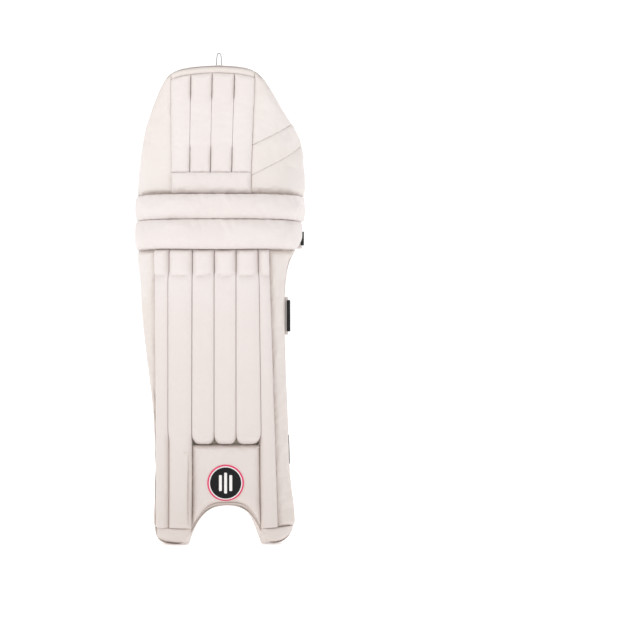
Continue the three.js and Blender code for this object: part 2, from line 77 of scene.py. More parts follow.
RIGHT_OUTLINE = [
    (0, 114), (40, 115.5), (68, 112), (100, 108.3), (170, 105.5), (229, 103.3), (290, 101),
    (361, 100.3), (392, 102), (420, 107), (435, 115), (450, 122), (480, 127), (518, 128.2),
    (553, 128.5), (582, 126.7), (611, 119.4), (641, 99.5), (667, 84), (690, 68),
]
TOP_ARCH = [
    (-75, 690), (-62, 697.5), (-45, 701.5), (-20, 704.2), (0, PAD_TOP), (20, 704.4), (42, 702),
    (57, 697.5), (68, 690),
]
INSTEP_ARCH = [
    (-44, 1), (-37.5, 19), (-28, 36), (-18, 48.5), (-7, 55.5), (10, 58.2), (32, 57), (46, 49.5),
    (57, 33.5), (64.2, 20), (71, 1),
]


def through(points):
    """A smooth function through (input, output) pairs: Catmull-Rom on uneven steps."""
    xs, ys = np.array(points, float).T
    slopes = np.empty(len(xs))
    slopes[1:-1] = (ys[2:] - ys[:-2]) / (xs[2:] - xs[:-2])
    slopes[0] = (ys[1] - ys[0]) / (xs[1] - xs[0])
    slopes[-1] = (ys[-1] - ys[-2]) / (xs[-1] - xs[-2])

    def at(t):
        t = np.clip(t, xs[0], xs[-1])
        i = np.clip(np.searchsorted(xs, t) - 1, 0, len(xs) - 2)
        step = xs[i + 1] - xs[i]
        s = (t - xs[i]) / step
        ease = s * s * (3 - 2 * s)
        ends = slopes[i] * step * s * (1 - s) ** 2 + slopes[i + 1] * step * s * s * (s - 1)
        return ys[i] * (1 - ease) + ys[i + 1] * ease + ends
    return at


left_outline, right_outline = through(LEFT_OUTLINE), through(RIGHT_OUTLINE)
top_arch, instep_arch = through(TOP_ARCH), through(INSTEP_ARCH)


def share(t, low, high):
    """How far t is from low to high, from 0 to 1."""
    return np.clip((np.asarray(t, float) - low) / (high - low), 0, 1)


def smooth(t, low=0.0, high=1.0):
    s = share(t, low, high)
    return s * s * (3 - 2 * s)


def mix(a, b, t):
    return a + (b - a) * t


def arc_of(x):
    """The arc of the board's point that the front view shows at x."""
    x = np.asarray(x, float)
    past = np.clip((np.abs(x) - FLAT) / (BEND + WING), 0, 1)
    return np.sign(x) * (np.minimum(np.abs(x), FLAT) + BEND * np.arcsin(past))


def x_of(arc):
    arc = np.asarray(arc, float)
    turn = np.maximum(0, np.abs(arc) - FLAT) / BEND
    return np.sign(arc) * (np.minimum(np.abs(arc), FLAT) + (BEND + WING) * np.sin(turn))


def fold(arc, z, out):
    """Points of the folded pad, in millimetres, as an array whose last axis is x, y, z."""
    arc, z, out = np.broadcast_arrays(*(np.asarray(v, float) for v in (arc, z, out)))
    turn = np.maximum(0, np.abs(arc) - FLAT) / BEND
    side = np.where(arc < 0, -1.0, 1.0)
    flat = 1 - HAT_FLATTER * share(z, HAT_BOTTOM, PAD_TOP)
    lean = -HAT_LEAN * share(z, ROLL_SPLIT, PAD_TOP) ** 1.5
    lean = lean - FOOT_LEAN * share(FOOT_BEND - z, 0, FOOT_BEND) ** 2
    nx, ny = side * flat * np.sin(turn), -np.cos(turn)
    size = np.hypot(nx, ny)
    x = side * (np.minimum(np.abs(arc), FLAT) + BEND * np.sin(turn)) + out * nx / size
    y = flat * BEND * (1 - np.cos(turn)) + lean + out * ny / size
    return np.stack([x + WIDTH_SHIFT, y + DEPTH_SHIFT, z], -1)


# ---- Sides of patches: arcs as functions of height, heights as functions of arc ----
def level(value):
    return lambda t: np.full(np.shape(t), float(value))


def at_x(x):
    return level(arc_of(x))


def slanted(x_low, z_low, x_high, z_high):
    return lambda z: arc_of(mix(x_low, x_high, share(z, z_low, z_high)))


def rising(x_a, z_a, x_b, z_b):
    return lambda arc: mix(z_a, z_b, (arc - arc_of(x_a)) / (arc_of(x_b) - arc_of(x_a)))


def left_edge(inset=0.0):
    return lambda z: arc_of(left_outline(z)) + inset


def right_edge(inset=0.0):
    return lambda z: arc_of(right_outline(z)) - inset


def cane_edge(i):
    return slanted(CANE_EDGES_LOW[i], FOOT_TOP, CANE_EDGES[i], SHIN_TOP)


def hat_edge(i):
    return slanted(HAT_EDGES_LOW[i], HEM_TOP, HAT_EDGES[i], PAD_TOP)


def hat_top(drop=0.0):
    return lambda arc: top_arch(x_of(arc)) - drop


CORNER_LEFT, CORNER_RIGHT = 15, 30


def foot_line(arc):
    """The foot's bottom line: rounded corners, two flat feet and the instep arch between them."""
    arc = np.asarray(arc, float)

    def corner(radius, distance):
        past = share(1 - distance / radius, 0, 1)
        return radius * (1 - np.sqrt(1 - past * past))
    ends = np.maximum(corner(CORNER_LEFT, arc - arc_of(left_outline(0.0))),
                      corner(CORNER_RIGHT, arc_of(right_outline(0.0)) - arc))
    in_arch = (arc > arc_of(INSTEP_ARCH[0][0])) & (arc < arc_of(INSTEP_ARCH[-1][0]))
    return np.where(in_arch, instep_arch(x_of(arc)), ends)


# ---- Unevenness of cloth: sums of sines with seeded directions and phases ----
def ripple(a, b, wave, seed, count=7):
    """A smooth irregular surface of about -1 to 1 with waves near wave millimetres long."""
    rng = np.random.default_rng(seed)
    total = 0
    for _ in range(count):
        angle, phase = rng.uniform(0, math.pi), rng.uniform(0, 2 * math.pi)
        length = wave * rng.uniform(0.7, 1.5)
        turn = 2 * math.pi / length
        total = total + np.sin((a * math.cos(angle) + b * math.sin(angle)) * turn + phase)
    return total / math.sqrt(count) / 1.4


def quilted_edge(distance, radius):
    """0 at a seam, rising as a quarter ellipse to 1 at radius from it."""
    past = np.clip(1 - distance / radius, 0, 1)
    return np.sqrt(np.maximum(0, 1 - past * past))


def puffed_edge(distance, radius):
    """As quilted_edge, but opening in a valley at the seam, as soft padding does."""
    past = np.clip(1 - distance / radius, 0, 1)
    return np.maximum(0, 1 - past * past) ** 0.72


def stations(length, radius, cell):
    """Shares of a length: close together by its two ends, where the cloth turns over, and even between."""
    radius = min(radius, length / 2)
    turn = radius * (1 - np.cos(np.linspace(0, math.pi / 2, 7)))
    count = max(1, round((length - 2 * radius) / cell))
    middle = np.linspace(radius, length - radius, count + 1)
    places = np.concatenate([turn, middle, length - turn])
    places = np.unique(np.round(places, 3))
    keep = np.concatenate([[True], np.diff(places) > 0.02])
    return places[keep] / length


# ---- Mesh helpers ----
MATERIALS = {}


def mesh_object(name, points, faces, material, painted_seam_shade=None):
    """A smooth-shaded mesh from millimetre points; the last argument gives each point a share of painted
    shade, 1 in a deep seam.
    """
    mesh = bpy.data.meshes.new(name)
    mesh.from_pydata((np.asarray(points, float).reshape(-1, 3) * MM).tolist(), [], faces)
    mesh.validate()
    mesh.polygons.foreach_set("use_smooth", [True] * len(mesh.polygons))
    mesh.set_sharp_from_angle(angle=math.radians(60))
    values = np.zeros(len(mesh.vertices), np.float32) if painted_seam_shade is None else np.asarray(painted_seam_shade, np.float32)
    mesh.attributes.new("painted_seam_shade", "FLOAT", "POINT").data.foreach_set("value", values)
    mesh.materials.append(MATERIALS[material])
    piece = bpy.data.objects.new(name, mesh)
    bpy.context.scene.collection.objects.link(piece)
    return piece


def grid_faces(across, up, first=0, flip=False):
    i, j = np.meshgrid(np.arange(across - 1), np.arange(up - 1), indexing="ij")
    a = (first + i * up + j).ravel()
    quads = np.stack([a, a + up, a + up + 1, a + 1], -1)
    return (quads[:, ::-1] if flip else quads).tolist()


def closed_patch(front, back, flip):
    """Faces and points of a solid with a front grid, a back grid and a wall between their borders."""
    across, up = front.shape[:2]
    size = across * up
    border = ([(i, 0) for i in range(across)] + [(across - 1, j) for j in range(1, up)]
              + [(i, up - 1) for i in range(across - 2, -1, -1)] + [(0, j) for j in range(up - 2, 0, -1)])
    ring = [i * up + j for i, j in border]
    walls = []
    for k, a in enumerate(ring):
        b = ring[(k + 1) % len(ring)]
        wall = [a, a + size, b + size, b]
        walls.append(wall[::-1] if flip else wall)
    faces = grid_faces(across, up, 0, flip) + grid_faces(across, up, size, not flip) + walls
    return np.concatenate([front.reshape(-1, 3), back.reshape(-1, 3)]), faces


def spread(left, right, bottom, top, us, vs):
    """Arcs and heights of a grid over the patch between two sides and two ends."""
    u, v = np.meshgrid(us, vs, indexing="ij")
    z = mix(bottom(0.0 * u), top(0.0 * u), v)
    for _ in range(40):
        arc = mix(left(z), right(z), u)
        z = mix(z, mix(bottom(arc), top(arc), v), 0.5)
    return arc, z


SEAM = 0.03  # clearance of a patch from its seam lines
VARIED_TURN = 12
SEAM_SHADE_WIDTH, DEEP_SEAM = 2.2, 9  # width of the painted shade along a seam, and the seam depth at which it is full
PUCKER_REACH, PUCKER_START, PUCKER_WAVE = 7, 1.2, 8.5
CALM_EDGE = 6
SEWN = {}  # for each patch, which of its points are sewn down


def value_at(value, arc, z):
    return value(arc, z) if callable(value) else value


def widest(sides):
    """The widest turn of some sides, where one that varies counts as VARIED_TURN."""
    return max(VARIED_TURN if callable(radius) else radius for _, radius, _ in sides)


def quilted_heights(arc, z, shape, crown, sides, seed, softness, wave):
    """How high a padded patch stands off its board, and the share of painted shade by its seams, from 0 to
    1, fuller where a seam is deep.
    """
    left, right, bottom, top = shape
    full = value_at(crown, arc, z)
    spans = (right(z) - left(z), top(arc) - bottom(arc))
    distances = (arc - left(z), right(z) - arc, z - bottom(arc), top(arc) - z)
    along = (z, z, arc, arc)
    drop, pucker, shade_in_seams = 0, 0, 0
    for k, (seam_height, radius, gather) in enumerate(sides):
        distance = np.maximum(distances[k] - SEAM, 0)
        reach = np.minimum(value_at(radius, arc, z), np.maximum(spans[k // 2] / 2, 0.5))
        deep = np.maximum(full - value_at(seam_height, arc, z), 0)
        drop = drop + (deep * (1 - puffed_edge(distance, reach))) ** 3
        # painted shade: strongest right at a seam and where the seam is deep, as shade falls there
        shade_in_seams = np.maximum(shade_in_seams, np.exp(-distance / SEAM_SHADE_WIDTH) * np.clip(deep / DEEP_SEAM, 0, 1))
        fade = np.exp(-distance / PUCKER_REACH) * (1 - np.exp(-distance / PUCKER_START))
        pucker = pucker + gather * fade * ripple(along[k], 0.35 * distance, PUCKER_WAVE, seed + 11 * k, 5)
    calm = 1 - np.exp(-np.min(distances, 0) / CALM_EDGE)
    return full - np.cbrt(drop) + pucker + softness * ripple(arc, z, wave, seed + 5) * calm, shade_in_seams


def pillow(name, material, shape, crown, sides, back, seed, cell=3.0, behind=False, detail=None,
           softness=0.5, wave=45.0):
    """A padded patch. shape is (left, right, bottom, top). crown is its height off the board and back the
    height of its flat side, each a number or a function of (arc, z). sides gives each side's height at
    the seam, radius of turn and pucker. behind puts it on the leg's side, where heights count the other
    way. detail(arc, z) is added to the height. seed, softness and wave set its unevenness."""
    left, right, bottom, top = shape
    sample = np.linspace(0, 1, 9)
    arc, z = spread(*shape, sample, sample)
    us = stations(np.max(arc[-1] - arc[0]), widest(sides[:2]), cell)
    vs = stations(np.max(z[:, -1] - z[:, 0]), widest(sides[2:]), cell)
    arc, z = spread(lambda z: left(z) + SEAM, lambda z: right(z) - SEAM, lambda a: bottom(a) + SEAM,
                    lambda a: top(a) - SEAM, us, vs)
    high, shade_in_seams = quilted_heights(arc, z, shape, crown, sides, seed, softness, wave)
    if detail is not None:
        extra = detail(arc, z)
        high = high + extra
        # painted shade also where detail sinks the surface, as in the cap creases and rib troughs
        shade_in_seams = np.maximum(shade_in_seams, np.clip(-extra / 4, 0, 1))
    sign = -1 if behind else 1
    front, rear = fold(arc, z, sign * high), fold(arc, z, sign * value_at(back, arc, z))
    points, faces = closed_patch(front, rear, behind)
    # painted seam shade on the front points, none on the back
    painted_seam_shade = np.concatenate([shade_in_seams.ravel(), np.zeros(shade_in_seams.size)])
    piece = mesh_object(name, points, faces, material, painted_seam_shade)
    sewn = np.ones(arc.shape, bool)
    sewn[1:-1, 1:-1] = False
    SEWN[name] = np.concatenate([sewn.ravel(), np.ones(shade_in_seams.size, bool)])
    return piece


def loft(name, rings, material, closed=False):
    """A solid through rings of points; its two ends are capped unless the rings close on themselves."""
    rings = np.asarray(rings, float)
    count, around = rings.shape[:2]
    faces = []
    for i in range(count if closed else count - 1):
        a, b = i * around, (i + 1) % count * around
        faces += [[a + k, b + k, b + (k + 1) % around, a + (k + 1) % around] for k in range(around)]
    if not closed:
        faces.append(list(range(around)))
        faces.append([(count - 1) * around + k for k in reversed(range(around))])
    if rings_volume(rings) < 0:
        faces = [face[::-1] for face in faces]
    return mesh_object(name, rings.reshape(-1, 3), faces, material)


def rings_volume(rings):
    """A signed size, whose sign tells which way a loft's faces look."""
    middle = rings.mean(1)
    total = 0.0
    for i in range(len(rings) - 1):
        ring = rings[i] - middle[i]
        area = np.cross(ring, np.roll(ring, -1, 0)).sum(0)
        total += float(area @ (middle[i + 1] - middle[i]))
    return -total


# ---- Paths: rows of points ----
def unit(vectors):
    return vectors / np.linalg.norm(vectors, axis=-1, keepdims=True)


def distances_along(path):
    """How far along the path each of its points lies."""
    steps = np.linalg.norm(np.diff(path, axis=0), axis=1)
    return np.concatenate([[0], np.cumsum(steps)])


def resample_to(path, count):
    along = distances_along(path)
    places = np.linspace(0, along[-1], count)
    return np.stack([np.interp(places, along, path[:, k]) for k in range(path.shape[1])], -1)


def resample(path, pitch):
    path = np.asarray(path, float)
    return resample_to(path, max(2, round(distances_along(path)[-1] / pitch) + 1))


def smoothed(path, pitch, rounds):
    """The path at an even pitch with its corners rounded off."""
    path = resample(path, pitch)
    for _ in range(rounds):
        path[1:-1] = (path[:-2] + 2 * path[1:-1] + path[2:]) / 4
    return path


def inward(path):
    """Unit normals of an (arc, z) path that keeps the pad on its left, pointing into the pad."""
    ahead = unit(np.gradient(path, axis=0))
    return np.stack([-ahead[:, 1], ahead[:, 0]], -1)


def inset_path(path, distance):
    return path + distance * inward(path)


def sideways(path):
    """Level unit vectors square to a path in space."""
    ahead = np.gradient(path, axis=0)
    return unit(np.stack([-ahead[:, 1], ahead[:, 0], 0 * ahead[:, 0]], -1))


# ---- Where each piece belongs ----
RECORD = frame["record"]
BODY_OF = {node: body for body, nodes in RECORD["behaviour"]["bodies"].items() for node in nodes}
SLOT_OF = {row["node"]: row["material_slot"] for row in RECORD["subparts"]}


def attach(piece, like):
    """The piece moves as the CAD node like does."""
    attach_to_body(piece, BODY_OF[like])
    return piece


def stand_for(piece, node):
    """The piece is what the CAD node looks like; it moves with the node, and the node is hidden."""
    attach(piece, node)
    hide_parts(node)
    return piece


# ---- Cloth ----
LAST_FRAME = 20
CLOTH = {"quality": 5, "mass": 0.25, "tension_stiffness": 12, "compression_stiffness": 12,
         "shear_stiffness": 6, "bending_stiffness": 0.4, "use_pressure": True,
         "uniform_pressure_force": 4.0, "vertex_group_mass": "held"}


def coordinates(mesh):
    co = np.empty(len(mesh.vertices) * 3, np.float32)
    mesh.vertices.foreach_get("co", co)
    return co.reshape(-1, 3).astype(float)


def settle(piece, growth, cap):
    """Lets a padded cover settle as cloth cut a little larger than its place, with its border and its back
    sewn down. growth is how much larger it is; no point moves further than cap millimetres."""
    start = coordinates(piece.data)
    group = piece.vertex_groups.new(name="held")
    group.add(np.flatnonzero(SEWN[piece.name]).tolist(), 1.0, "REPLACE")
    cloth = piece.modifiers.new("cloth", "CLOTH")
    for key, value in CLOTH.items():
        setattr(cloth.settings, key, value)
    cloth.settings.shrink_min = -growth
    cloth.settings.effector_weights.gravity = 0
    cloth.collision_settings.use_collision = False
    cloth.point_cache.frame_start = 1
    cloth.point_cache.frame_end = LAST_FRAME
    scene = bpy.context.scene
    for moment in range(1, LAST_FRAME + 1):
        scene.frame_set(moment)
    shown = piece.evaluated_get(bpy.context.evaluated_depsgraph_get())
    moved = coordinates(shown.data) - start
    piece.modifiers.remove(cloth)
    piece.vertex_groups.clear()
    scene.frame_set(1)
    far = np.linalg.norm(moved, axis=1, keepdims=True)
    limited = moved * (cap * MM * np.tanh(far / (cap * MM))) / np.maximum(far, 1e-9)
    piece.data.vertices.foreach_set("co", (start + limited).astype(np.float32).ravel())
    piece.data.update()


def refine(piece):
    """Subdivides a finished cover once, so that its folds are round."""
    rounder = piece.modifiers.new("rounder", "SUBSURF")
    rounder.levels = 1
    shown = piece.evaluated_get(bpy.context.evaluated_depsgraph_get())
    mesh = bpy.data.meshes.new_from_object(shown)
    piece.modifiers.remove(rounder)
    old, piece.data = piece.data, mesh
    bpy.data.meshes.remove(old)
    mesh.name = piece.name
    return piece


def cover(node, material, shape, crown, sides, back, seed, fill=0.8, settled=None, **look):
    """The padded cover that stands for a CAD node; settled is (growth, cap) where it settles as cloth."""
    piece = pillow(f"{node}_cover", material, shape, crown, sides, back, seed, **look)
    if settled is not None:
        settle(piece, *settled)
    return stand_for(refine(piece), node)


# ---- Threads, tubes and printed shapes ----
def surface_of(piece):
    """A search tree of the piece's surface."""
    points = [piece.matrix_world @ vertex.co for vertex in piece.data.vertices]
    return BVHTree.FromPolygons(points, [list(polygon.vertices) for polygon in piece.data.polygons])


def tube(name, path, radius, material):
    """A round cord along a path."""
    path = np.asarray(path, float)
    up = np.array([0.3, 0.2, 0.93])
    turns = np.linspace(0, 2 * math.pi, 10, endpoint=False)[:, None]
    rings = []
    for point, heading in zip(path, unit(np.gradient(path, axis=0))):
        side = unit(np.cross(heading, up))
        up = np.cross(side, heading)
        rings.append(point + radius * (np.cos(turns) * side + np.sin(turns) * up))
    return loft(name, rings, material)


STITCH_PITCH, SHORTEST_STITCH, THREAD = 4.3, 0.5, 0.34
STITCH_RINGS = ((0.0, -0.35, 0.6), (0.25, 0.12, 1.0), (0.75, 0.12, 1.0), (1.0, -0.35, 0.6))


def stitch_points(a, b, normal):
    """One stitch from a to b: four rings of six points, each (share of the way, lift, share of its size)."""
    side = np.cross(unit(b - a), normal)
    points = []
    for along, lift, size in STITCH_RINGS:
        centre = a + (b - a) * along + normal * lift
        for turn in np.arange(6) * math.pi / 3:
            points.append(centre + (side * math.cos(turn) + normal * math.sin(turn)) * THREAD * size)
    return points


def stitches(name, path, target):
    """A row of stitches that follows a path over the target's surface."""
    tree = surface_of(target)
    hits = [tree.find_nearest(Vector(point * MM)) for point in resample(path, STITCH_PITCH / 4)]
    all_points, all_faces = [], []
    for start in range(0, len(hits) - 3, 4):
        a, b = (np.array(hits[i][0]) / MM for i in (start, start + 3))
        if np.linalg.norm(b - a) < SHORTEST_STITCH:
            continue
        first = len(all_points)
        all_points += stitch_points(a, b, np.array(hits[start + 1][1]))
        for low in (first, first + 6, first + 12):
            around = [(low + k, low + (k + 1) % 6) for k in range(6)]
            all_faces += [[i, j, j + 6, i + 6] for i, j in around]
        all_faces.append([first + k for k in reversed(range(6))])
        all_faces.append([first + 18 + k for k in range(6)])
    return mesh_object(name, all_points, all_faces, "thread")


def inside(loops, x, z):
    """True where a point is inside an odd number of the loops."""
    odd = False
    for loop in loops:
        for (x0, z0), (x1, z1) in zip(loop, loop[1:] + loop[:1]):
            if (z0 > z) != (z1 > z) and x < x0 + (z - z0) * (x1 - x0) / (z1 - z0):
                odd = not odd
    return odd


def rounded(corners, radius, steps=5):
    """A closed loop whose corners are rounded off."""
    loop = []
    count = len(corners)
    for i, corner in enumerate(corners):
        here = np.array(corner, float)
        before = np.array(corners[i - 1], float) - here
        after = np.array(corners[(i + 1) % count], float) - here
        reach = min(radius, np.linalg.norm(before) / 2.2, np.linalg.norm(after) / 2.2)
        a = here + before / np.linalg.norm(before) * reach
        b = here + after / np.linalg.norm(after) * reach
        for t in np.linspace(0, 1, steps):
            loop.append(tuple((1 - t) ** 2 * a + 2 * t * (1 - t) * here + t * t * b))
    return loop


def circle(x, z, radius, count=56):
    turns = np.linspace(0, 2 * math.pi, count, endpoint=False)
    return [(x + radius * math.cos(t), z + radius * math.sin(t)) for t in turns]


def filled(loops, spacing):
    """Flat points over the area between the loops, and the triangles that join them."""
    points, edges = [], []
    for loop in loops:
        first, count = len(points), len(loop)
        points += loop
        edges += [(first + i, first + (i + 1) % count) for i in range(count)]
    low, high = np.min(points, 0), np.max(points, 0)
    for x in np.arange(low[0] + spacing / 2, high[0], spacing):
        for z in np.arange(low[1] + spacing / 2, high[1], spacing):
            if inside(loops, x, z) and min(math.hypot(x - a, z - b) for a, b in points[:400]) > 0.8:
                points.append((x, z))
    flat, _, faces, _, _, _ = delaunay_2d_cdt([Vector(p) for p in points], edges, [], 0, 1e-4)
    middles = [sum((flat[i] for i in face), Vector((0, 0))) / len(face) for face in faces]
    return flat, [list(face) for face, middle in zip(faces, middles) if inside(loops, *middle)]


def printed(name, loops, place, material, spacing=2.2):
    """A thin raised shape. The loops are its outline and its holes; place(x, z) gives a point of its face
    and the point behind it."""
    flat, faces = filled(loops, spacing)
    tops, backs = zip(*(place(p.x, p.y) for p in flat))
    sides = dict.fromkeys((a, b) for face in faces for a, b in zip(face, face[1:] + face[:1]))
    size = len(flat)
    walls = [[a, a + size, b + size, b] for a, b in sides if (b, a) not in sides]
    solid = faces + walls + [[i + size for i in reversed(face)] for face in faces]
    used = sorted({i for face in solid for i in face})
    order = {i: k for k, i in enumerate(used)}
    both = tops + backs
    all_points = [both[i] for i in used]
    all_faces = [[order[i] for i in face] for face in solid]
    a, b, c = (all_points[i] for i in all_faces[0][:3])
    some = faces[0][0]
    if np.cross(b - a, c - a) @ (tops[some] - backs[some]) < 0:
        all_faces = [face[::-1] for face in all_faces]
    return mesh_object(name, all_points, all_faces, material)


def bar(x, z, half_width, half_height, radius):
    """The loop of an upright bar with rounded ends."""
    corners = [(x - half_width, z - half_height), (x + half_width, z - half_height),
               (x + half_width, z + half_height), (x - half_width, z + half_height)]
    return rounded(corners, radius)


def on_surface(target, toward, lift, sink):
    """A place function for printed(): straight onto the target along Y, from lift above it to sink below.
    toward is 1 for a face that looks back and -1 for one that looks forward."""
    tree = surface_of(target)

    def place(x, z):
        start = Vector((x * MM, toward * 0.4, z * MM))
        hit, normal, _, _ = tree.ray_cast(start, Vector((0, -toward, 0)))
        if hit is None:
            hit, normal, _, _ = tree.find_nearest(Vector((x * MM, 0, z * MM)))
        point = np.array(hit) / MM
        away = np.array([0.0, toward, 0.0])
        return point + away * lift, point - away * sink
    return place


# ---- Materials ----
class Graph:
    """A small builder of one procedural material."""

    def __init__(self, name):
        self.material = bpy.data.materials.new(f"{name}_look")
        MATERIALS[name] = self.material
        self.material.use_nodes = True
        self.tree = self.material.node_tree
        self.tree.nodes.clear()
        self.shader = self.node("ShaderNodeBsdfPrincipled")
        output = self.node("ShaderNodeOutputMaterial")
        self.link(self.shader.outputs[0], output.inputs["Surface"])
        coordinate = self.node("ShaderNodeTexCoord")
        self.place = coordinate.outputs["Object"]

    def node(self, kind, **settings):
        made = self.tree.nodes.new(kind)
        for key, value in settings.items():
            setattr(made, key, value)
        return made

    def link(self, source, target):
        self.tree.links.new(source, target)

    def put(self, target, value):
        if isinstance(value, bpy.types.NodeSocket):
            self.link(value, target)
        else:
            target.default_value = value

    def texture(self, kind, output, where, inputs, **settings):
        """A node that reads the object's coordinates, or those given."""
        made = self.node(kind, **settings)
        for key, value in inputs.items():
            made.inputs[key].default_value = value
        self.link(where or self.place, made.inputs["Vector"])
        return made.outputs[output]

    def stretched(self, x, y, z):
        return self.texture("ShaderNodeMapping", "Vector", None, {"Scale": (x, y, z)})

    def noise(self, scale, detail=3.0, rough=0.5, warp=0.0, where=None):
        inputs = {"Scale": scale, "Detail": detail, "Roughness": rough, "Distortion": warp}
        return self.texture("ShaderNodeTexNoise", "Fac", where, inputs)

    def cells(self, scale, feature="F1", where=None, output="Distance"):
        return self.texture("ShaderNodeTexVoronoi", output, where, {"Scale": scale}, feature=feature)

    def waves(self, scale, direction):
        return self.texture("ShaderNodeTexWave", "Fac", None, {"Scale": scale}, wave_type="BANDS",
                            bands_direction=direction)

    def math(self, operation, a, b=0.0, clamp=False):
        made = self.node("ShaderNodeMath", operation=operation, use_clamp=clamp)
        self.put(made.inputs[0], a)
        self.put(made.inputs[1], b)
        return made.outputs[0]

    def steps(self, value, *stops):
        """A grey ramp through (place, value) stops."""
        ramp = self.node("ShaderNodeValToRGB")
        points = ramp.color_ramp.elements
        while len(points) < len(stops):
            points.new(0.5)
        for point, (where, grey) in zip(points, stops):
            point.position = where
            point.color = (grey, grey, grey, 1)
        self.link(value, ramp.inputs["Fac"])
        return ramp.outputs["Color"]

    def blend(self, share_of, a, b):
        made = self.node("ShaderNodeMix", data_type="RGBA")
        self.put(made.inputs[0], share_of)
        for socket, value in ((made.inputs[6], a), (made.inputs[7], b)):
            self.put(socket, value if isinstance(value, bpy.types.NodeSocket) else (*value, 1.0))
        return made.outputs[2]

    def height(self):
        """Metres above the floor."""
        split = self.node("ShaderNodeSeparateXYZ")
        self.link(self.place, split.inputs[0])
        return split.outputs["Z"]

    def seam_shade_share(self):
        """The share of painted shade in the piece's seams."""
        return self.node("ShaderNodeAttribute", attribute_name="painted_seam_shade").outputs["Fac"]

    def bumps(self, *layers):
        """Height layers, each (height, distance in millimetres)."""
        normal = None
        for height, distance in layers:
            bump = self.node("ShaderNodeBump")
            bump.inputs["Strength"].default_value = 1.0
            bump.inputs["Distance"].default_value = distance * MM
            self.link(height, bump.inputs["Height"])
            if normal is not None:
                self.link(normal, bump.inputs["Normal"])
            normal = bump.outputs["Normal"]
        self.link(normal, self.shader.inputs["Normal"])

    def finish(self, color, roughness, **extra):
        self.link(color, self.shader.inputs["Base Color"])
        self.put(self.shader.inputs["Roughness"], roughness)
        for key, value in extra.items():
            self.put(self.shader.inputs[key.replace("_", " ")], value)


LOWER_TONE = (0.69, 0.615, 0.575)  # covers are darker towards the foot


def leather(name, color, warm, shade_in_seams, grain=1.0, gloss=0.42):
    """Coated leathercloth: fine pebbled grain, soft creases, a warm drift of colour, painted shade in its
    seams and a darker, mottled tone towards the foot."""
    g = Graph(name)
    drift = g.steps(g.noise(7.0, 4.0, 0.55, 0.4), (0.35, 0.0), (0.72, 1.0))
    patches = g.steps(g.noise(46.0, 5.0, 0.6, 0.6), (0.45, 0.0), (0.8, 0.35))
    tint = g.blend(drift, color, warm)
    tint = g.blend(patches, tint, warm)
    # painted shade in the seams, mottled by noise
    seam_shade_mix = g.math("MULTIPLY", g.seam_shade_share(), g.math("ADD", 0.55, g.math("MULTIPLY", g.noise(90.0), 0.6)), True)
    tint = g.blend(seam_shade_mix, tint, shade_in_seams)
    # darker towards the foot, in patches
    low = g.steps(g.height(), (0.03, 0.85), (0.42, 0.0))
    lower_darkening = g.math("MULTIPLY", low, g.steps(patches, (0.0, 1.0), (0.35, 0.85)))
    tint = g.blend(lower_darkening, tint, LOWER_TONE)
    pebble = g.cells(950.0, "SMOOTH_F1")
    pores = g.noise(2100.0, 2.0)
    creases = g.math("ABSOLUTE", g.math("SUBTRACT", g.noise(75.0, 3.0, 0.5, 1.5), 0.5))
    soft = g.noise(28.0, 2.0, 0.5, 0.8)
    g.bumps((soft, 1.1), (creases, 0.5 * grain), (pebble, 0.13 * grain), (pores, 0.04 * grain))
    rough = g.math("ADD", gloss, g.math("MULTIPLY", g.noise(120.0, 4.0), 0.22))
    g.finish(tint, rough, Coat_Weight=0.12, Coat_Roughness=0.4, Sheen_Weight=0.05)


def brushed(name, color, deep, fibre=1.0, weave=False):
    """Cloth with a raised nap, or a plain weave."""
    g = Graph(name)
    nap = g.noise(1500.0, 3.0, 0.7, 0.6, g.stretched(1.0, 1.0, 0.45))
    tufts = g.noise(420.0, 4.0, 0.65, 1.2)
    cloudy = g.steps(g.noise(30.0, 4.0, 0.6, 0.8), (0.35, 0.0), (0.75, 1.0))
    tint = g.blend(g.steps(tufts, (0.3, 1.0), (0.62, 0.0)), color, deep)
    tint = g.blend(g.math("MULTIPLY", cloudy, 0.35), tint, deep)
    # painted shade in the seams of padded pieces
    tint = g.blend(g.math("MULTIPLY", g.seam_shade_share(), 0.5), tint, deep)
    layers = [(g.noise(34.0, 2.0), 0.8), (tufts, 0.22 * fibre), (nap, 0.16 * fibre)]
    if weave:
        threads = g.math("MAXIMUM", g.waves(330.0, "X"), g.waves(330.0, "Z"))
        layers.append((threads, 0.25))
    g.bumps(*layers)
    g.finish(tint, 0.85, Sheen_Weight=0.45, Sheen_Roughness=0.5, Specular_IOR_Level=0.25)


def lining_cloth(name, color, print_color, amount):
    """Smooth lining printed with large pale angular shapes."""
    g = Graph(name)
    wide = g.stretched(11.0, 2.0, 8.0)
    shade = g.cells(1.0, "F1", wide, "Color")
    tone = g.node("ShaderNodeRGBToBW")
    g.link(shade, tone.inputs[0])
    shapes = g.steps(tone.outputs[0], (0.42, 0.0), (0.5, 1.0))
    fade = g.steps(g.noise(9.0, 2.0), (0.4, 0.25), (0.65, 1.0))
    mask = g.math("MULTIPLY", g.math("MULTIPLY", shapes, fade), amount)
    tint = g.blend(mask, color, print_color)
    # painted shade in the seams
    tint = g.blend(g.math("MULTIPLY", g.seam_shade_share(), 0.6), tint, (0.5, 0.46, 0.44))
    # darker towards the bottom
    tint = g.blend(g.steps(g.height(), (0.03, 0.7), (0.2, 0.0)), tint, LOWER_TONE)
    threads = g.math("MAXIMUM", g.waves(520.0, "X"), g.waves(520.0, "Z"))
    g.bumps((g.noise(26.0, 3.0, 0.5, 1.0), 1.2), (g.noise(90.0, 3.0), 0.35), (threads, 0.1))
    g.finish(tint, 0.55, Sheen_Weight=0.2, Sheen_Roughness=0.5)


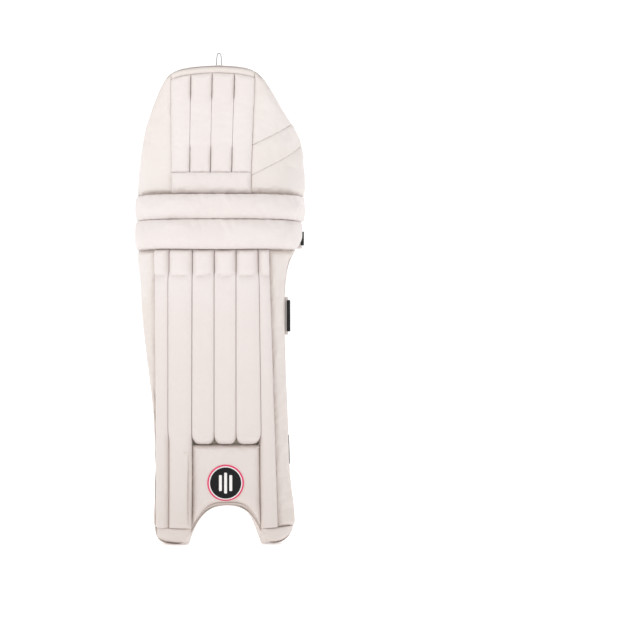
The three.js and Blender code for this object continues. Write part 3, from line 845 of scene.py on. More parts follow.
def plain(name, color, deep, roughness, grain_scale, grain, **extra):
    """A moulded, printed or sawn surface with a little unevenness of tone and grain."""
    g = Graph(name)
    tint = g.blend(g.steps(g.noise(60.0, 4.0), (0.35, 0.0), (0.75, 1.0)), color, deep)
    g.bumps((g.noise(grain_scale, 4.0, 0.6), grain), (g.cells(grain_scale * 2.2), grain * 0.5))
    g.finish(tint, g.math("ADD", roughness, g.math("MULTIPLY", g.noise(180.0), 0.12)), **extra)


def split_cane(name):
    g = Graph(name)
    fibres = g.noise(300.0, 5.0, 0.6, 0.3, g.stretched(1.0, 1.0, 0.04))
    tint = g.blend(fibres, (0.62, 0.42, 0.2), (0.36, 0.22, 0.09))
    g.bumps((fibres, 0.5), (g.noise(1200.0), 0.05))
    g.finish(tint, 0.5, Coat_Weight=0.1)


def make_materials():
    # the third colour of each leather is the painted shade in its seams
    leather("leather", (0.825, 0.77, 0.755), (0.8, 0.73, 0.705), (0.67, 0.6, 0.57))
    leather("leather_wing", (0.82, 0.763, 0.735), (0.795, 0.722, 0.68), (0.66, 0.59, 0.545))
    leather("leather_piping", (0.79, 0.725, 0.685), (0.75, 0.67, 0.62), (0.6, 0.53, 0.48), 0.6, 0.36)
    leather("leather_inner", (0.82, 0.765, 0.75), (0.79, 0.725, 0.705), (0.66, 0.59, 0.56), 0.8, 0.46)
    lining_cloth("lining", (0.83, 0.81, 0.81), (0.56, 0.55, 0.59), 0.85)
    lining_cloth("bolster_cloth", (0.83, 0.81, 0.805), (0.72, 0.705, 0.73), 0.5)
    brushed("web", (0.82, 0.775, 0.755), (0.76, 0.705, 0.68), 0.7)
    brushed("rib", (0.79, 0.745, 0.725), (0.62, 0.57, 0.545), 0.7, True)
    brushed("pile", (0.8, 0.76, 0.73), (0.6, 0.55, 0.52), 1.9)
    brushed("tape", (0.5, 0.51, 0.53), (0.34, 0.35, 0.37), 0.7, True)
    brushed("thread", (0.85, 0.81, 0.78), (0.6, 0.55, 0.52), 0.4)
    plain("tab", (0.006, 0.006, 0.007), (0.012, 0.012, 0.012), 0.55, 900.0, 0.1, Specular_IOR_Level=0.3)
    plain("badge_black", (0.003, 0.003, 0.004), (0.006, 0.006, 0.007), 0.5, 700.0, 0.04,
          Specular_IOR_Level=0.25)
    plain("badge_white", (0.88, 0.86, 0.85), (0.8, 0.78, 0.77), 0.4, 700.0, 0.04, Coat_Weight=0.2)
    plain("badge_pink", (0.78, 0.035, 0.14), (0.68, 0.04, 0.13), 0.38, 700.0, 0.04, Coat_Weight=0.2)
    plain("print_pink", (0.8, 0.045, 0.15), (0.74, 0.06, 0.16), 0.5, 800.0, 0.04)
    plain("print_grey", (0.52, 0.49, 0.5), (0.6, 0.57, 0.58), 0.5, 800.0, 0.04)
    plain("print_black", (0.02, 0.02, 0.022), (0.04, 0.038, 0.04), 0.5, 800.0, 0.04)
    plain("foam", (0.8, 0.76, 0.64), (0.7, 0.64, 0.5), 0.8, 500.0, 0.4)
    split_cane("cane")


make_materials()


# ---- Front of the shin ----
ON_BOARD = 0.3  # where the back of a front cover rests
RIM_SIDE = (12.5, 7, 0.4)


def knee_line(arc):
    """The crease above the shin, which sags a little in the middle."""
    return SHIN_TOP - 1.6 * np.exp(-(np.asarray(arc, float) / 70) ** 2)


def scallop(i):
    """The rounded lower end of a middle cane channel, as a height for each arc."""
    low, high = cane_edge(i - 1)(PANEL_TOP), cane_edge(i)(PANEL_TOP)
    middle, half = (low + high) / 2, (high - low) / 2
    return lambda arc: PANEL_TOP + 0.8 + 9 * np.minimum(np.abs((arc - middle) / half), 1) ** 5


def place_in(left, right, arc, z):
    """Where an arc lies between two sides, from -1 to 1."""
    return 2 * (arc - left(z)) / (right(z) - left(z)) - 1


def cap_crease(i, seed):
    """The stitched cap at a cane channel's top: a short curved crease, and a fuller cap above it."""
    left, right = cane_edge(i - 1), cane_edge(i)

    def detail(arc, z):
        across = place_in(left, right, arc, z)
        line = CAP_BOTTOM + 3.0 * across ** 2 + 1.2 * ripple(arc, z, 30, seed)
        reach = np.clip(1 - np.abs(across / 0.86) ** 4, 0, 1)
        crease = -3.4 * np.exp(-((z - line) / 1.5) ** 2) * reach
        fuller = 1.6 * smooth(z, line, line + 9) * reach
        pinch = -1.0 * np.exp(-((z - line + 4) / 5) ** 2) * reach
        return crease + fuller + pinch
    return detail


def cane_seam(arc, z):
    """Seams between canes are shallow along the shaft and deep between the caps and the scallops."""
    return mix(22.4, 17.5, np.maximum(smooth(z, CAP_BOTTOM - 4, CAP_BOTTOM + 8), 1 - smooth(z, 150, 172)))


def cane_turn(arc, z):
    return mix(8, 13, smooth(z, CAP_BOTTOM - 4, CAP_BOTTOM + 8))


def build_canes():
    outer, seam = (13, 12, 0.4), (cane_seam, cane_turn, 0.45)
    for i in range(1, 7):
        is_middle = 3 <= i <= 5
        shape = (cane_edge(i - 1), cane_edge(i), scallop(i) if is_middle else level(FOOT_TOP), knee_line)
        sides = (outer if i == 1 else seam, outer if i == 6 else seam,
                 (11, 9, 0.5) if is_middle else (21, 5, 0.3), (16, 10, 0.7))
        cover(f"cane_channel_{i}", "leather", shape, 25, sides, ON_BOARD, 40 + i, fill=0.9,
              detail=cap_crease(i, 60 + i), softness=0.45, wave=60)


def wing_crown(edge, seam):
    """A wing is fuller beside the channels than at its rim."""
    def crown(arc, z):
        beside = share(np.abs(arc - edge(z)) / np.maximum(np.abs(seam(z) - edge(z)), 1), 0, 1)
        return mix(17.0, 19.5, smooth(beside))
    return crown


def build_wings():
    bottom = lambda arc: np.maximum(FOOT_TOP, foot_line(arc))
    seam, ends = (14, 7, 0.5), ((12, 7, 0.5), (9, 10, 0.9))
    rim_left, rim_right = left_edge(1.2), right_edge(1.2)
    left_crown, right_crown = wing_crown(rim_left, cane_edge(0)), wing_crown(rim_right, cane_edge(6))
    for name, left, right, crown, sides, seed in (
            ("wing_left", rim_left, cane_edge(0), left_crown, (RIM_SIDE, seam), 9),
            ("wing_right", cane_edge(6), rim_right, right_crown, (seam, RIM_SIDE), 10)):
        cover(name, "leather_wing", (left, right, bottom, knee_line), crown, (*sides, *ends), ON_BOARD, seed,
              settled=(0.02, 1.4), cell=4.0, softness=0.8, wave=55)


BINDING = [(1.4, -8.6), (-0.2, -7), (-0.8, -2), (-0.8, 5), (0.1, 9), (1.9, 10.8), (3.6, 10.4), (4.6, 8),
           (4.2, 3), (3.2, -1), (3.0, -7), (2.4, -8.2)]  # (distance in from the line, out)


def build_instep():
    bottom = lambda arc: instep_arch(x_of(arc)) + 4.2
    sides = ((12, 8, 0.5), (12, 8, 0.5), (9, 8, 0.4), (9, 7, 0.7))
    cover("instep_panel", "leather", (cane_edge(2), cane_edge(5), bottom, level(PANEL_TOP)), 18.5, sides,
          ON_BOARD, 7, settled=(0.015, 1.0), cell=3.4, softness=0.5)
    arcs = arc_of(np.linspace(-38.5, 65.2, 90))
    path = np.stack([arcs, instep_arch(x_of(arcs))], -1)
    stand_for(rim("instep_binding_cover", path, BINDING, "leather_piping"), "instep_binding")
    place = on_surface(bpy.data.objects["cane_channel_2_cover"], -1, 0.9, 0.8)
    strip = [(-43.2, 32), (-39.2, 30), (-39.2, 138), (-50, 138), (-50, 133.5), (-43.2, 133.5)]
    attach(printed("instep_strip", [rounded(strip, 1.2)], place, "leather_piping", 2.0), "instep_panel")


def rim(name, path, section, material, narrow=None):
    """A binding along an (arc, z) path on the sheet, with the pad on its left. The section holds (distance
    in from the line, out) points, and narrow(z) is a share of its width past 2 mm."""
    path = np.asarray(path, float)
    rings = []
    for point, normal in zip(path, inward(path)):
        width = 1.0 if narrow is None else float(narrow(point[1]))
        ring = [(d if d < 2 else 2 + (d - 2) * width, out) for d, out in section]
        rings.append([fold(*(point + normal * d), out) for d, out in ring])
    return loft(name, rings, material)


RIM_PITCH = 2.6


def shin_outline():
    """From the top of the left edge down round the foot and up to the top of the right edge."""
    down = np.linspace(SHIN_TOP - 0.8, 18, 110)
    left = np.stack([left_edge()(down), down], -1)
    right = np.stack([right_edge()(down[::-1]), down[::-1]], -1)[6:]
    arcs = np.linspace(left_edge()(0) + 0.4, right_edge()(0) - 0.4, 420)
    foot = np.stack([arcs, foot_line(arcs)], -1)
    return smoothed(np.concatenate([left, foot, right]), RIM_PITCH, 34)


def hat_outline():
    """From the bottom of the right edge up over the top and down to the bottom of the left edge."""
    up = np.linspace(HAT_BOTTOM + 0.9, 688, 70)
    right = np.stack([right_edge()(up), up], -1)
    left = np.stack([left_edge()(up[::-1]), up[::-1]], -1)
    arcs = arc_of(np.linspace(66.5, -73.5, 90))
    top = np.stack([arcs, top_arch(x_of(arcs))], -1)
    return smoothed(np.concatenate([right, top, left]), RIM_PITCH, 9)


BORDER = [(0.8, 12.8), (0.0, 11.4), (-0.5, 5), (-0.5, -2), (0.1, -5.6), (1.6, -7.8), (4.4, -8.9), (8, -9.1),
          (11.6, -8.5), (12.0, -7.6), (8, -7.1), (4.8, -6.9), (2.4, -5.4), (1.2, -3), (1.1, 5), (1.3, 12.0)]


def build_edges():
    """The border that turns over each rim, the cord inside it, and the border's stitches."""
    for name, outline, like in (("shin", shin_outline(), "wing_left"),
                                ("hat", hat_outline(), "top_panel_left")):
        border = attach(rim(f"{name}_border", outline, BORDER, "leather_inner", border_width), like)
        cord = fold(*inset_path(outline, 1.0).T, -7.4)
        attach(tube(f"{name}_piping", cord, 1.4, "leather_piping"), like)
        sewn = fold(*inset_path(outline, 9.2).T, -9.2)
        rows = {"hat_border_stitches": sewn}
        if name == "shin":
            halves = sewn[:len(sewn) // 2], sewn[len(sewn) // 2:]
            rows = {f"shin_border_stitches_{side}": half[half[:, 2] > 48]
                    for side, half in zip(("left", "right"), halves)}
        for row, path in rows.items():
            attach(stitches(row, path, border), like)


def border_width(z):
    """The border's inner width, which narrows to a thin binding round the foot."""
    return mix(0.22, 1.0, smooth(z, 12, 46))


def build_foot():
    bottom = lambda arc: np.minimum(foot_line(arc), FOOT_TOP - 3)
    back = lambda arc, z: mix(-8, ON_BOARD, smooth(z, 6, 10))
    outer, inner = (7, 10, 0.3), (10, 7, 0.3)
    rim_left, rim_right = left_edge(1.0), right_edge(1.0)
    inner_left, inner_right = (level(cane_edge(i)(FOOT_TOP)) for i in (2, 5))
    for name, left, right, edge, ends, seed in (
            ("foot_strip_left", rim_left, inner_left, rim_left, (outer, inner), 18),
            ("foot_strip_right", inner_right, rim_right, rim_right, (inner, outer), 19)):
        cover(name, "leather_wing", (left, right, bottom, level(FOOT_TOP)), foot_crown(edge),
              (*ends, (-5, 19, 0.2), (19, 5, 0.3)), back, seed, cell=3.0, softness=0.5)


def foot_crown(edge):
    """A foot strip is thinner towards the rim."""
    return lambda arc, z: mix(15, 23, smooth(np.abs(arc - edge(z)), 4, 36))


# ---- Back of the shin ----
LINING_FRONT, LINING_BACK = 5.3, 6.9
ON_LINING, BOLSTER_BASE = 7.2, 7.4


def build_lining():
    thin = (5.6, 3, 0)
    foot, hat = (lambda arc: foot_line(arc) + 3.5), level(HAT_BOTTOM + 1.2)
    for name, bottom, top, seed in (("shin", foot, level(SHIN_TOP - 1), 3), ("top", hat, hat_top(3.5), 4)):
        piece = pillow(f"{name}_lining_cloth", "lining", (left_edge(3.5), right_edge(3.5), bottom, top),
                       LINING_BACK, (thin,) * 4, LINING_FRONT, seed, cell=4.0, behind=True, softness=0.28,
                       wave=38)
        stand_for(piece, f"{name}_lining")
        declare_sheet(piece)


ROW = 0.006  # half the height, in metres, of a row of points taken across a sheet


def declare_sheet(piece):
    """Takes rows of points across a thin piece at nine heights; nothing is kept from them."""
    points = coordinates(piece.data)
    low, tall = points[:, 2].min(), float(np.ptp(points[:, 2]))
    for z in np.linspace(low + 0.15 * tall, low + 0.85 * tall, 9):
        row = points[np.abs(points[:, 2] - z) < ROW]
        row = row[np.argsort(row[:, 0])][:: max(1, len(row) // 40)]


def build_bolsters():
    inner_left = lambda z: np.maximum(arc_of(-101), left_edge(13)(z))
    inner_right = lambda z: np.minimum(arc_of(105), right_edge(13)(z))
    side, end = (16, 9, 0.9), (14, 10, 0.9)
    for name, material, left, right, thick, seed, settled, softness in (
            ("bolster_left", "leather_inner", inner_left, at_x(-25.5), 15, 12, (0.03, 2.2), 0.9),
            ("bolster_centre", "bolster_cloth", at_x(-24.5), at_x(35), 14, 14, (0.008, 0.8), 0.4),
            ("bolster_right", "leather_inner", at_x(36), inner_right, 15, 13, (0.03, 2.2), 0.9)):
        cover(name, material, (left, right, level(152), level(424)), BOLSTER_BASE + thick,
              (side, side, end, end), ON_LINING, seed, 0.7, settled, cell=4.2, behind=True,
              softness=softness, wave=50)


def build_foot_pads():
    bottom = lambda arc: foot_line(arc) + 4.5
    sides = ((12, 8, 0.7), (12, 8, 0.7), (8.5, 14, 0.4), (12, 7, 0.7))
    for name, left, right, seed in (("foot_pad_left", left_edge(12.5), at_x(-34), 22),
                                    ("instep_pad", at_x(-33.5), at_x(56), 19),
                                    ("foot_pad_right", at_x(56.5), right_edge(12.5), 23)):
        cover(name, "leather_inner", (left, right, bottom, level(150.5)), BOLSTER_BASE + 9, sides, ON_LINING,
              seed, 0.6, (0.025, 1.6), cell=3.8, behind=True, softness=0.8, wave=40)


# ---- Knee ----
ROLL_ENDS, ROLL_HALF = 54, 22.5


def roll_crown(start, end):
    """A roll is slimmer towards its two ends."""
    return lambda arc, z: mix(17, 34, smooth(np.minimum(arc - start, end - arc) / ROLL_ENDS))


def build_roll(name, bottom, top, middle, cut):
    """A roll between two heights; cut(end) is the arc of its right end as a function of height."""
    start, end = float(left_edge()(middle)), float(right_edge()(middle))
    crown = roll_crown(start, end)
    turned, seam = (11.5, 7, 0.4), (lambda arc, z: 0.78 * crown(arc, z), 14, 1.3)
    back = lambda arc, z: -1 - 5 * np.sqrt(np.maximum(0, 1 - ((z - middle) / ROLL_HALF) ** 2))
    cover(name, "leather", (level(start), cut(end), bottom, level(top)), crown, (turned, turned, seam, seam),
          back, 45, 0.9, (0.02, 1.8), cell=3.8, softness=1.1, wave=70)


def build_rolls():
    """The lower roll's right end is cut back near the crease, where the shin's rim comes past it."""
    cut_back = lambda end: lambda z: end - 21 * (1 - smooth(z, 432, 458))
    build_roll("knee_roll_lower", knee_line, ROLL_SPLIT, (ROLL_SPLIT + SHIN_TOP) / 2, cut_back)
    build_roll("knee_roll_upper", level(ROLL_SPLIT), HAT_BOTTOM, (ROLL_SPLIT + HAT_BOTTOM) / 2, level)


def dart_edge(side):
    """One side of the dart that opens between the cup's two pads."""
    return lambda z: 1.5 + side * 15 * share(z, 497, 560)


def build_cup():
    """The knee cup's two pads, cut clear of the shin's right rim, and the ribbed gusset between them."""
    top = lambda arc: 560 - 4 * share(np.abs(arc), 0, 100)
    clear = lambda z: arc_of(113 - 22 * (1 - smooth(z, 428, 482)))
    inner, outer, end = (17.5, 7, 1.0), (16, 11, 0.8), (15, 12, 0.9)
    for name, left, right, sides, seed in (
            ("knee_cup_left", at_x(-113), dart_edge(-1), (outer, inner), 33),
            ("knee_cup_right", dart_edge(1), clear, (inner, outer), 34)):
        cover(name, "leather_inner", (left, right, level(431), top), 21.8, (*sides, end, end), 12.0, seed,
              0.6, (0.03, 2.0), cell=3.8, behind=True, softness=0.9, wave=48)
    ribs = lambda arc, z: 0.9 * np.cos(z * 2 * math.pi / 3.1)
    left, right = (lambda z: dart_edge(-1)(z) + 0.3), (lambda z: dart_edge(1)(z) - 0.3)
    piece = pillow("knee_gusset_cloth", "rib", (left, right, level(509), level(551)), 16, ((14, 2, 0),) * 4,
                   13.2, 5, cell=0.7, behind=True, detail=ribs, softness=0.2)
    stand_for(piece, "knee_gusset")


def build_cores():
    """The boards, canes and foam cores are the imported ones, inside their covers."""
    for node, thing in frame["nodes"].items():
        if SLOT_OF[node] in ("foam", "cane"):
            thing.data.materials.clear()
            thing.data.materials.append(MATERIALS[SLOT_OF[node]])


def belt(name, loop, z, thick, half, material):
    """A closed band of cloth that stands round a loop of (arc, out) points, as far above z as below it."""
    loop = np.asarray(loop, float)
    ahead = unit(np.roll(loop, -1, 0) - np.roll(loop, 1, 0))
    rises = [half * rise for rise in (-1, -0.5, 0, 0.5, 1)]
    section = [(rise, 0) for rise in rises] + [(rise, thick) for rise in reversed(rises)]
    rings = [[fold(arc - w * turn, z + rise, out + w * along) for rise, w in section]
             for (arc, out), (along, turn) in zip(loop, ahead)]
    return loft(name, rings, material, closed=True)


def build_webs():
    """Pleats of leathercloth round the padding at the three creases, each lying across its crease."""
    for name, z, margin, below, above in (("lower", SHIN_TOP, 6, "shin", "lower_roll"),
                                          ("middle", ROLL_SPLIT, 3, "lower_roll", "upper_roll"),
                                          ("upper", HAT_BOTTOM, 3, "upper_roll", "top_hat")):
        start, end = float(left_edge()(z)) + 3, float(right_edge()(z)) - margin
        across = np.linspace(start + 3, end - 3, 70)
        depth = np.linspace(-2, 8, 4)
        loop = [(arc, 9.5) for arc in across] + [(end, out) for out in depth[::-1]]
        loop += [(arc, -3.2) for arc in across[::-1]] + [(start, out) for out in depth]
        web = belt(f"knee_web_{name}", loop, z, 1.1, 9.5, "leather_inner")
        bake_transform(web)


# ---- Top hat ----
RIM_BAND = 11.5  # height of the band over the channels


def slit_depth(z):
    """1 where the top hat's channels are parted by a deep slit, near both ends, and 0 between."""
    return np.maximum(1 - smooth(z, 586, 592), smooth(z, 650, 660))


def build_hat_channels():
    top = lambda arc: top_arch(x_of(arc)) - RIM_BAND
    outer = (17.6, 7, 0.4)
    seam = (lambda arc, z: mix(20.85, 16.5, slit_depth(z)), lambda arc, z: mix(9, 5, slit_depth(z)), 0.2)
    for i in range(1, 5):
        sides = (outer if i == 1 else seam, outer if i == 4 else seam, (18.8, 5, 0.5), (17, 6, 0.5))
        cover(f"top_channel_{i}", "leather", (hat_edge(i - 1), hat_edge(i), level(HEM_TOP), top), 21, sides,
              ON_BOARD, 80 + i, settled=(0.012, 0.9), cell=3.2, softness=0.7, wave=60)


def build_hat_bands():
    """The hem below the top hat's channels and the band that goes over them."""
    hem_end, band_end = (18, 7, 0.4), (15, 6, 0.3)
    cover("top_hem", "leather", (hat_edge(0), hat_edge(4), level(HAT_BOTTOM + 0.6), level(HEM_TOP)), 23,
          (hem_end, hem_end, (15, 11, 0.9), (19.6, 6, 0.5)), ON_BOARD, 31, settled=(0.02, 1.5), cell=3.8,
          softness=0.9, wave=60)
    bottom = lambda arc: top_arch(x_of(arc)) - RIM_BAND
    cover("top_rim", "leather_wing", (hat_edge(0), hat_edge(4), bottom, hat_top(1.0)), 18.5,
          (band_end, band_end, (16.6, 4, 0.4), (8, 11, 0.4)), ON_BOARD, 33, cell=2.8, softness=0.4)


def build_hat_panels():
    """The wings of the top hat: one on the left, and three on the right with slanting seams between."""
    seam_low, seam_high = rising(51, 546, 127, 600), rising(53, 590, 117, 630)
    floor, roof = level(HAT_BOTTOM + 0.6), hat_top(1.0)
    seam, low_end, top_end = (16.8, 6, 0.4), (9, 10, 0.8), (8, 11, 0.4)
    rim_left, rim_right, inner_left, inner_right = left_edge(1.2), right_edge(1.2), hat_edge(0), hat_edge(4)
    left_crown, right_crown = wing_crown(rim_left, inner_left), wing_crown(rim_right, inner_right)
    slanting = (lambda arc, z: right_crown(arc, z) - 2.2, 5, 0.4)
    left_panel = (rim_left, inner_left, left_crown, RIM_SIDE, seam)
    right_panel = (inner_right, rim_right, right_crown, seam, RIM_SIDE)
    for name, panel, bottom, top, ends, seed in (
            ("top_panel_left", left_panel, floor, roof, (low_end, top_end), 14),
            ("top_panel_right_lower", right_panel, floor, seam_low, (low_end, slanting), 21),
            ("top_panel_right_middle", right_panel, seam_low, seam_high, (slanting, slanting), 22),
            ("top_panel_right_upper", right_panel, seam_high, roof, (slanting, top_end), 21)):
        left, right, crown, *sides = panel
        cover(name, "leather_wing", (left, right, bottom, top), crown, (*sides, *ends), ON_BOARD, seed,
              settled=(0.02, 1.4), cell=3.8, softness=0.8, wave=55)


LOOP_X, LOOP_RISE = 3.5, 17.5


def tape_ring(centre, heading, half_width, half_thick):
    """A flat rounded section of a tape that stands square to heading, wide along Y."""
    across = np.array([heading[2], 0, -heading[0]])
    ring = []
    for turn in np.linspace(0, 2 * math.pi, 14, endpoint=False):
        deep, thin = math.cos(turn), math.sin(turn)
        wide = math.copysign(abs(deep) ** 0.6, deep) * half_width
        thick = math.copysign(abs(thin) ** 0.7, thin) * half_thick
        ring.append(centre + np.array([0, wide, 0]) + across * thick)
    return ring


def build_loop():
    """The hanging loop: a flat woven tape doubled over, pinched where it is sewn in."""
    foot = fold(arc_of(LOOP_X), PAD_TOP, 7)
    side = [(3.8, 0), (3.7, 0.25), (3.5, 0.5), (2.9, 0.75), (2.0, 0.93)]
    line = [(-x, rise) for x, rise in side] + [(0, 1.0)] + [(x, rise) for x, rise in reversed(side)]
    path = [(foot[0] + x, foot[1], PAD_TOP + 1 + rise * LOOP_RISE) for x, rise in line]
    path = resample(path, 0.8)
    opened = mix(0.35, 1, smooth(path[:, 2], PAD_TOP + 1, PAD_TOP + 4))
    rings = [tape_ring(point, heading, 2.6 * wide, 0.72 + 0.08 * math.cos(i * 2.1))
             for i, (point, heading, wide) in enumerate(zip(path, unit(np.gradient(path, axis=0)), opened))]
    stand_for(loft("hang_loop_tape", rings, "tape"), "hang_loop")
    knot = [fold(arc_of(LOOP_X + x), 704.6, 7) + np.array([0, 0, 0.5]) for x in (-5.5, -3, 0, 3, 5.5)]
    attach(tube("hang_loop_seat", knot, 1.3, "leather_piping"), "top_rim")


# ---- Badges: a plain roundel with three upright bars ----
DISC = 46  # the radius that a roundel's sizes are given for


def roundel(node, x, z, radius, target, toward):
    """Embossed layers on a padded surface, each a little prouder than the one below."""
    scale = radius / DISC
    layers = (("disc", DISC, "badge_pink", 0.9), ("white", 42, "badge_white", 1.2),
              ("black", 39.2, "badge_black", 1.5))
    for tone, size, material, lift in layers:
        place = on_surface(target, toward, lift, 0.6)
        layer = attach(printed(f"{node}_{tone}", [circle(x, z, size * scale)], place, material, 3.5), node)
        if tone == "disc":
            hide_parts(node)
    place = on_surface(target, toward, 1.85, 0.0)
    for k, (offset, tall) in enumerate(((-13, 20), (0, 26), (13, 20))):
        loop = bar(x + offset * scale, z, 3.6 * scale, tall * scale, 2.2 * scale)
        attach(printed(f"{node}_bar_{k + 1}", [loop], place, "badge_white"), node)


def build_badges():
    roundel("instep_badge", 11.3, 92, 27, bpy.data.objects["instep_panel_cover"], -1)
    roundel("top_badge", 25.8, 614, 46, bpy.data.objects["top_lining_cloth"], 1)


# ---- Straps ----
RIM_INNER, RIM_OUTER, PATCH, TAB, STRAP = -16, 10, 1.6, 2, 3
AWAY = 1 + PATCH + 1 + STRAP / 2
SOFT_EDGE, CELL, PATCH_INSET, SEAM_INSET = 1.4, 2.6, 2, 4.2


def rim_point(side, z, out, beyond, seat=None):
    """A point beyond a rim's edge; seat is the height whose edge it follows, if not its own."""
    at = z if seat is None else seat
    edge = left_edge()(at) if side < 0 else right_edge()(at)
    return fold(edge + side * beyond, z, out)


def strap_route(z, tail, seat):
    """From the left rim in a bow behind the pad to the right rim, and forward over it as far as tail."""
    ends = [rim_point(side, z, RIM_INNER, AWAY, seat) for side in (-1, 1)]
    aims = [unit(rim_point(side, z, 2 * RIM_INNER, AWAY, seat) - end) for side, end in zip((-1, 1), ends)]
    reach = 0.36 * np.linalg.norm(ends[1] - ends[0])
    corners = [ends[0], ends[0] + aims[0] * reach, ends[1] + aims[1] * reach, ends[1]]
    t = np.linspace(0, 1, 71)[:, None]
    bow = ((1 - t) ** 3 * corners[0] + 3 * t * (1 - t) ** 2 * corners[1]
           + 3 * t * t * (1 - t) * corners[2] + t ** 3 * corners[3])
    last = rim_point(1, z, tail, AWAY, seat)
    steps = np.linspace(0, 1, 9)[1:, None]
    return np.concatenate([bow, corners[3] + (last - corners[3]) * steps])


def softened(route):
    """The route with its corner at the rim's end rounded off."""
    return smoothed(route, 2.4, 4)


def band(name, lower, upper, near, far, material, wrinkle=None, start=0.0, margin=0.0, edge=1.4):
    """A band of webbing or rubber between two routes, with rounded edges and ends. near and far are its
    faces' distances from the routes; it begins at the share start and stays margin inside its edges."""
    count = min(len(lower), len(upper))
    lower, upper = (resample_to(route, count) for route in (lower, upper))
    back = sideways((lower + upper) / 2)
    along = distances_along((lower + upper) / 2)
    first = int(np.searchsorted(along, along[-1] * start))
    half, middle = (far - near) / 2, (far + near) / 2
    rings, heights = [], None
    for i in range(first, count):
        tall = upper[i][2] - lower[i][2] - 2 * margin
        profile = stations(tall, edge, CELL) * tall
        heights = heights or len(profile)
        profile = np.interp(np.linspace(0, 1, heights), np.linspace(0, 1, len(profile)), profile)
        close = quilted_edge(max(min(along[i] - along[first], along[-1] - along[i]), 0.12), edge)
        thick = half * quilted_edge(np.minimum(profile, tall - profile) + 0.05, edge) * close
        line = lower[i] + (upper[i] - lower[i]) * ((profile + margin) / (tall + 2 * margin))[:, None]
        wave = 0 if wrinkle is None else wrinkle(along[i], profile, along[-1], tall)
        outer = line + back[i] * (middle + thick + wave)[:, None]
        inner = line + back[i] * (middle - thick + wave)[:, None]
        rings.append(np.concatenate([outer, inner[::-1][1:-1]]))
    return loft(name, rings, material)


def rim_patch(name, side, heights, seat, material, reach):
    """A sewn patch on a rim's end face between two heights, as far out as reach."""
    low, tall = heights[0] + PATCH_INSET, heights[1] - heights[0] - 2 * PATCH_INSET
    rises = stations(tall, SOFT_EDGE, 3.0) * tall
    middle = 0.7 + PATCH / 2
    rings = []
    for out in RIM_INNER + (reach - RIM_INNER) * stations(reach - RIM_INNER, SOFT_EDGE, CELL):
        close = quilted_edge(min(out - RIM_INNER, reach - out) + 0.12, SOFT_EDGE)
        thick = PATCH / 2 * quilted_edge(np.minimum(rises, tall - rises) + 0.08, SOFT_EDGE) * close
        outer = [rim_point(side, low + rise, out, middle + t, seat) for rise, t in zip(rises, thick)]
        inner = [rim_point(side, low + rise, out, middle - t, seat) for rise, t in zip(rises, thick)]
        rings.append(outer + inner[::-1][1:-1])
    return loft(name, rings, material)


def strap_waves(seed, creases):
    """A stuffed strap's unevenness: soft waves, a sunk line by each edge, and its own creases."""
    def waves(along, heights, length, tall):
        still = smooth(min(along, length - along), 4, 30)
        uneven = 0.55 * ripple(np.full(heights.shape, along), heights, 42, seed) * still
        sunk = -0.35 * np.exp(-((np.minimum(heights, tall - heights) - SEAM_INSET) / 0.8) ** 2)
        return uneven + sunk + creases(along / length, heights / tall)
    return waves


def strap_edges(left, right, tail, seat):
    """The routes of a strap's lower and upper edge, between its (low, high) heights at the two rims."""
    routes = [strap_route(height, tail, seat) for height in right]
    for route, start, end in zip(routes, left, right):
        route[:, 2] = mix(start, end, np.linspace(0, 1, len(route)))
    return [softened(route) for route in routes]


def build_tab(name, lower, upper, width):
    """A strap's rubber end: a layer over its last stretch, and the turn round its end."""
    count = min(len(lower), len(upper))
    total = distances_along((lower[:count] + upper[:count]) / 2)[-1]
    near, far = STRAP / 2 + 0.3, STRAP / 2 + 0.3 + TAB
    body = band(f"{name}_tab_body", lower, upper, near, far, "tab", start=1 - width / total, margin=6,
                edge=0.8)
    stand_for(body, f"{name}_tab")
    longer = [np.concatenate([route, [2 * route[-1] - route[-2]]]) for route in (lower, upper)]
    turn = band(f"{name}_tab_end", *longer, -STRAP / 2 - 1, far, "tab", start=1 - 6 / total, margin=5,
                edge=0.9)
    attach(turn, f"{name}_tab")


def build_strap(name, left, right, tail, tab_width, seat, seed, creases):
    lower, upper = strap_edges(left, right, tail, seat)
    web = band(f"{name}_web", lower, upper, -STRAP / 2, STRAP / 2, "web", strap_waves(seed, creases))
    stand_for(web, name)
    build_tab(name, lower, upper, tab_width)
    for edge, route, rise in (("lower", lower, SEAM_INSET), ("upper", upper, -SEAM_INSET)):
        path = route + np.array([0, 0, rise])
        attach(stitches(f"{name}_stitches_{edge}", (path + sideways(path) * 3)[3:-8], web), name)
    stand_for(rim_patch(f"{name}_anchor_patch", -1, left, seat, "web", -2), f"{name}_anchor")
    pile = rim_patch(f"{name}_pile_patch", 1, right, seat, "pile", min(RIM_OUTER, tail - 3))
    stand_for(pile, f"{name}_pile")
    build_root(name, left, lower, upper, seat)
    return web


ROOT_INSET = 3


def build_root(name, left, lower, upper, seat):
    """The turned end of a strap: cloth from its anchor round to the strap."""
    low, high = left

    def edge(z):
        seats = ((-4, 2.9), (-9, 3.0), (-13.5, 3.3))
        on_rim = [rim_point(-1, z, out, beyond, seat) for out, beyond in seats]
        on_strap = [mix(lower[k], upper[k], (z - low) / (high - low)) for k in (1, 3, 5)]
        for point in on_strap:
            point[2] = z
        return softened(np.array(on_rim + on_strap))
    root = band(f"{name}_root", edge(low + ROOT_INSET), edge(high - ROOT_INSET), -0.8, 0.8, "web", edge=0.7)
    start = rim_point(-1, (low + high) / 2, -11, 3.1, seat) * MM
    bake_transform(root)


def no_creases(along, heights):
    return 0.0 * heights


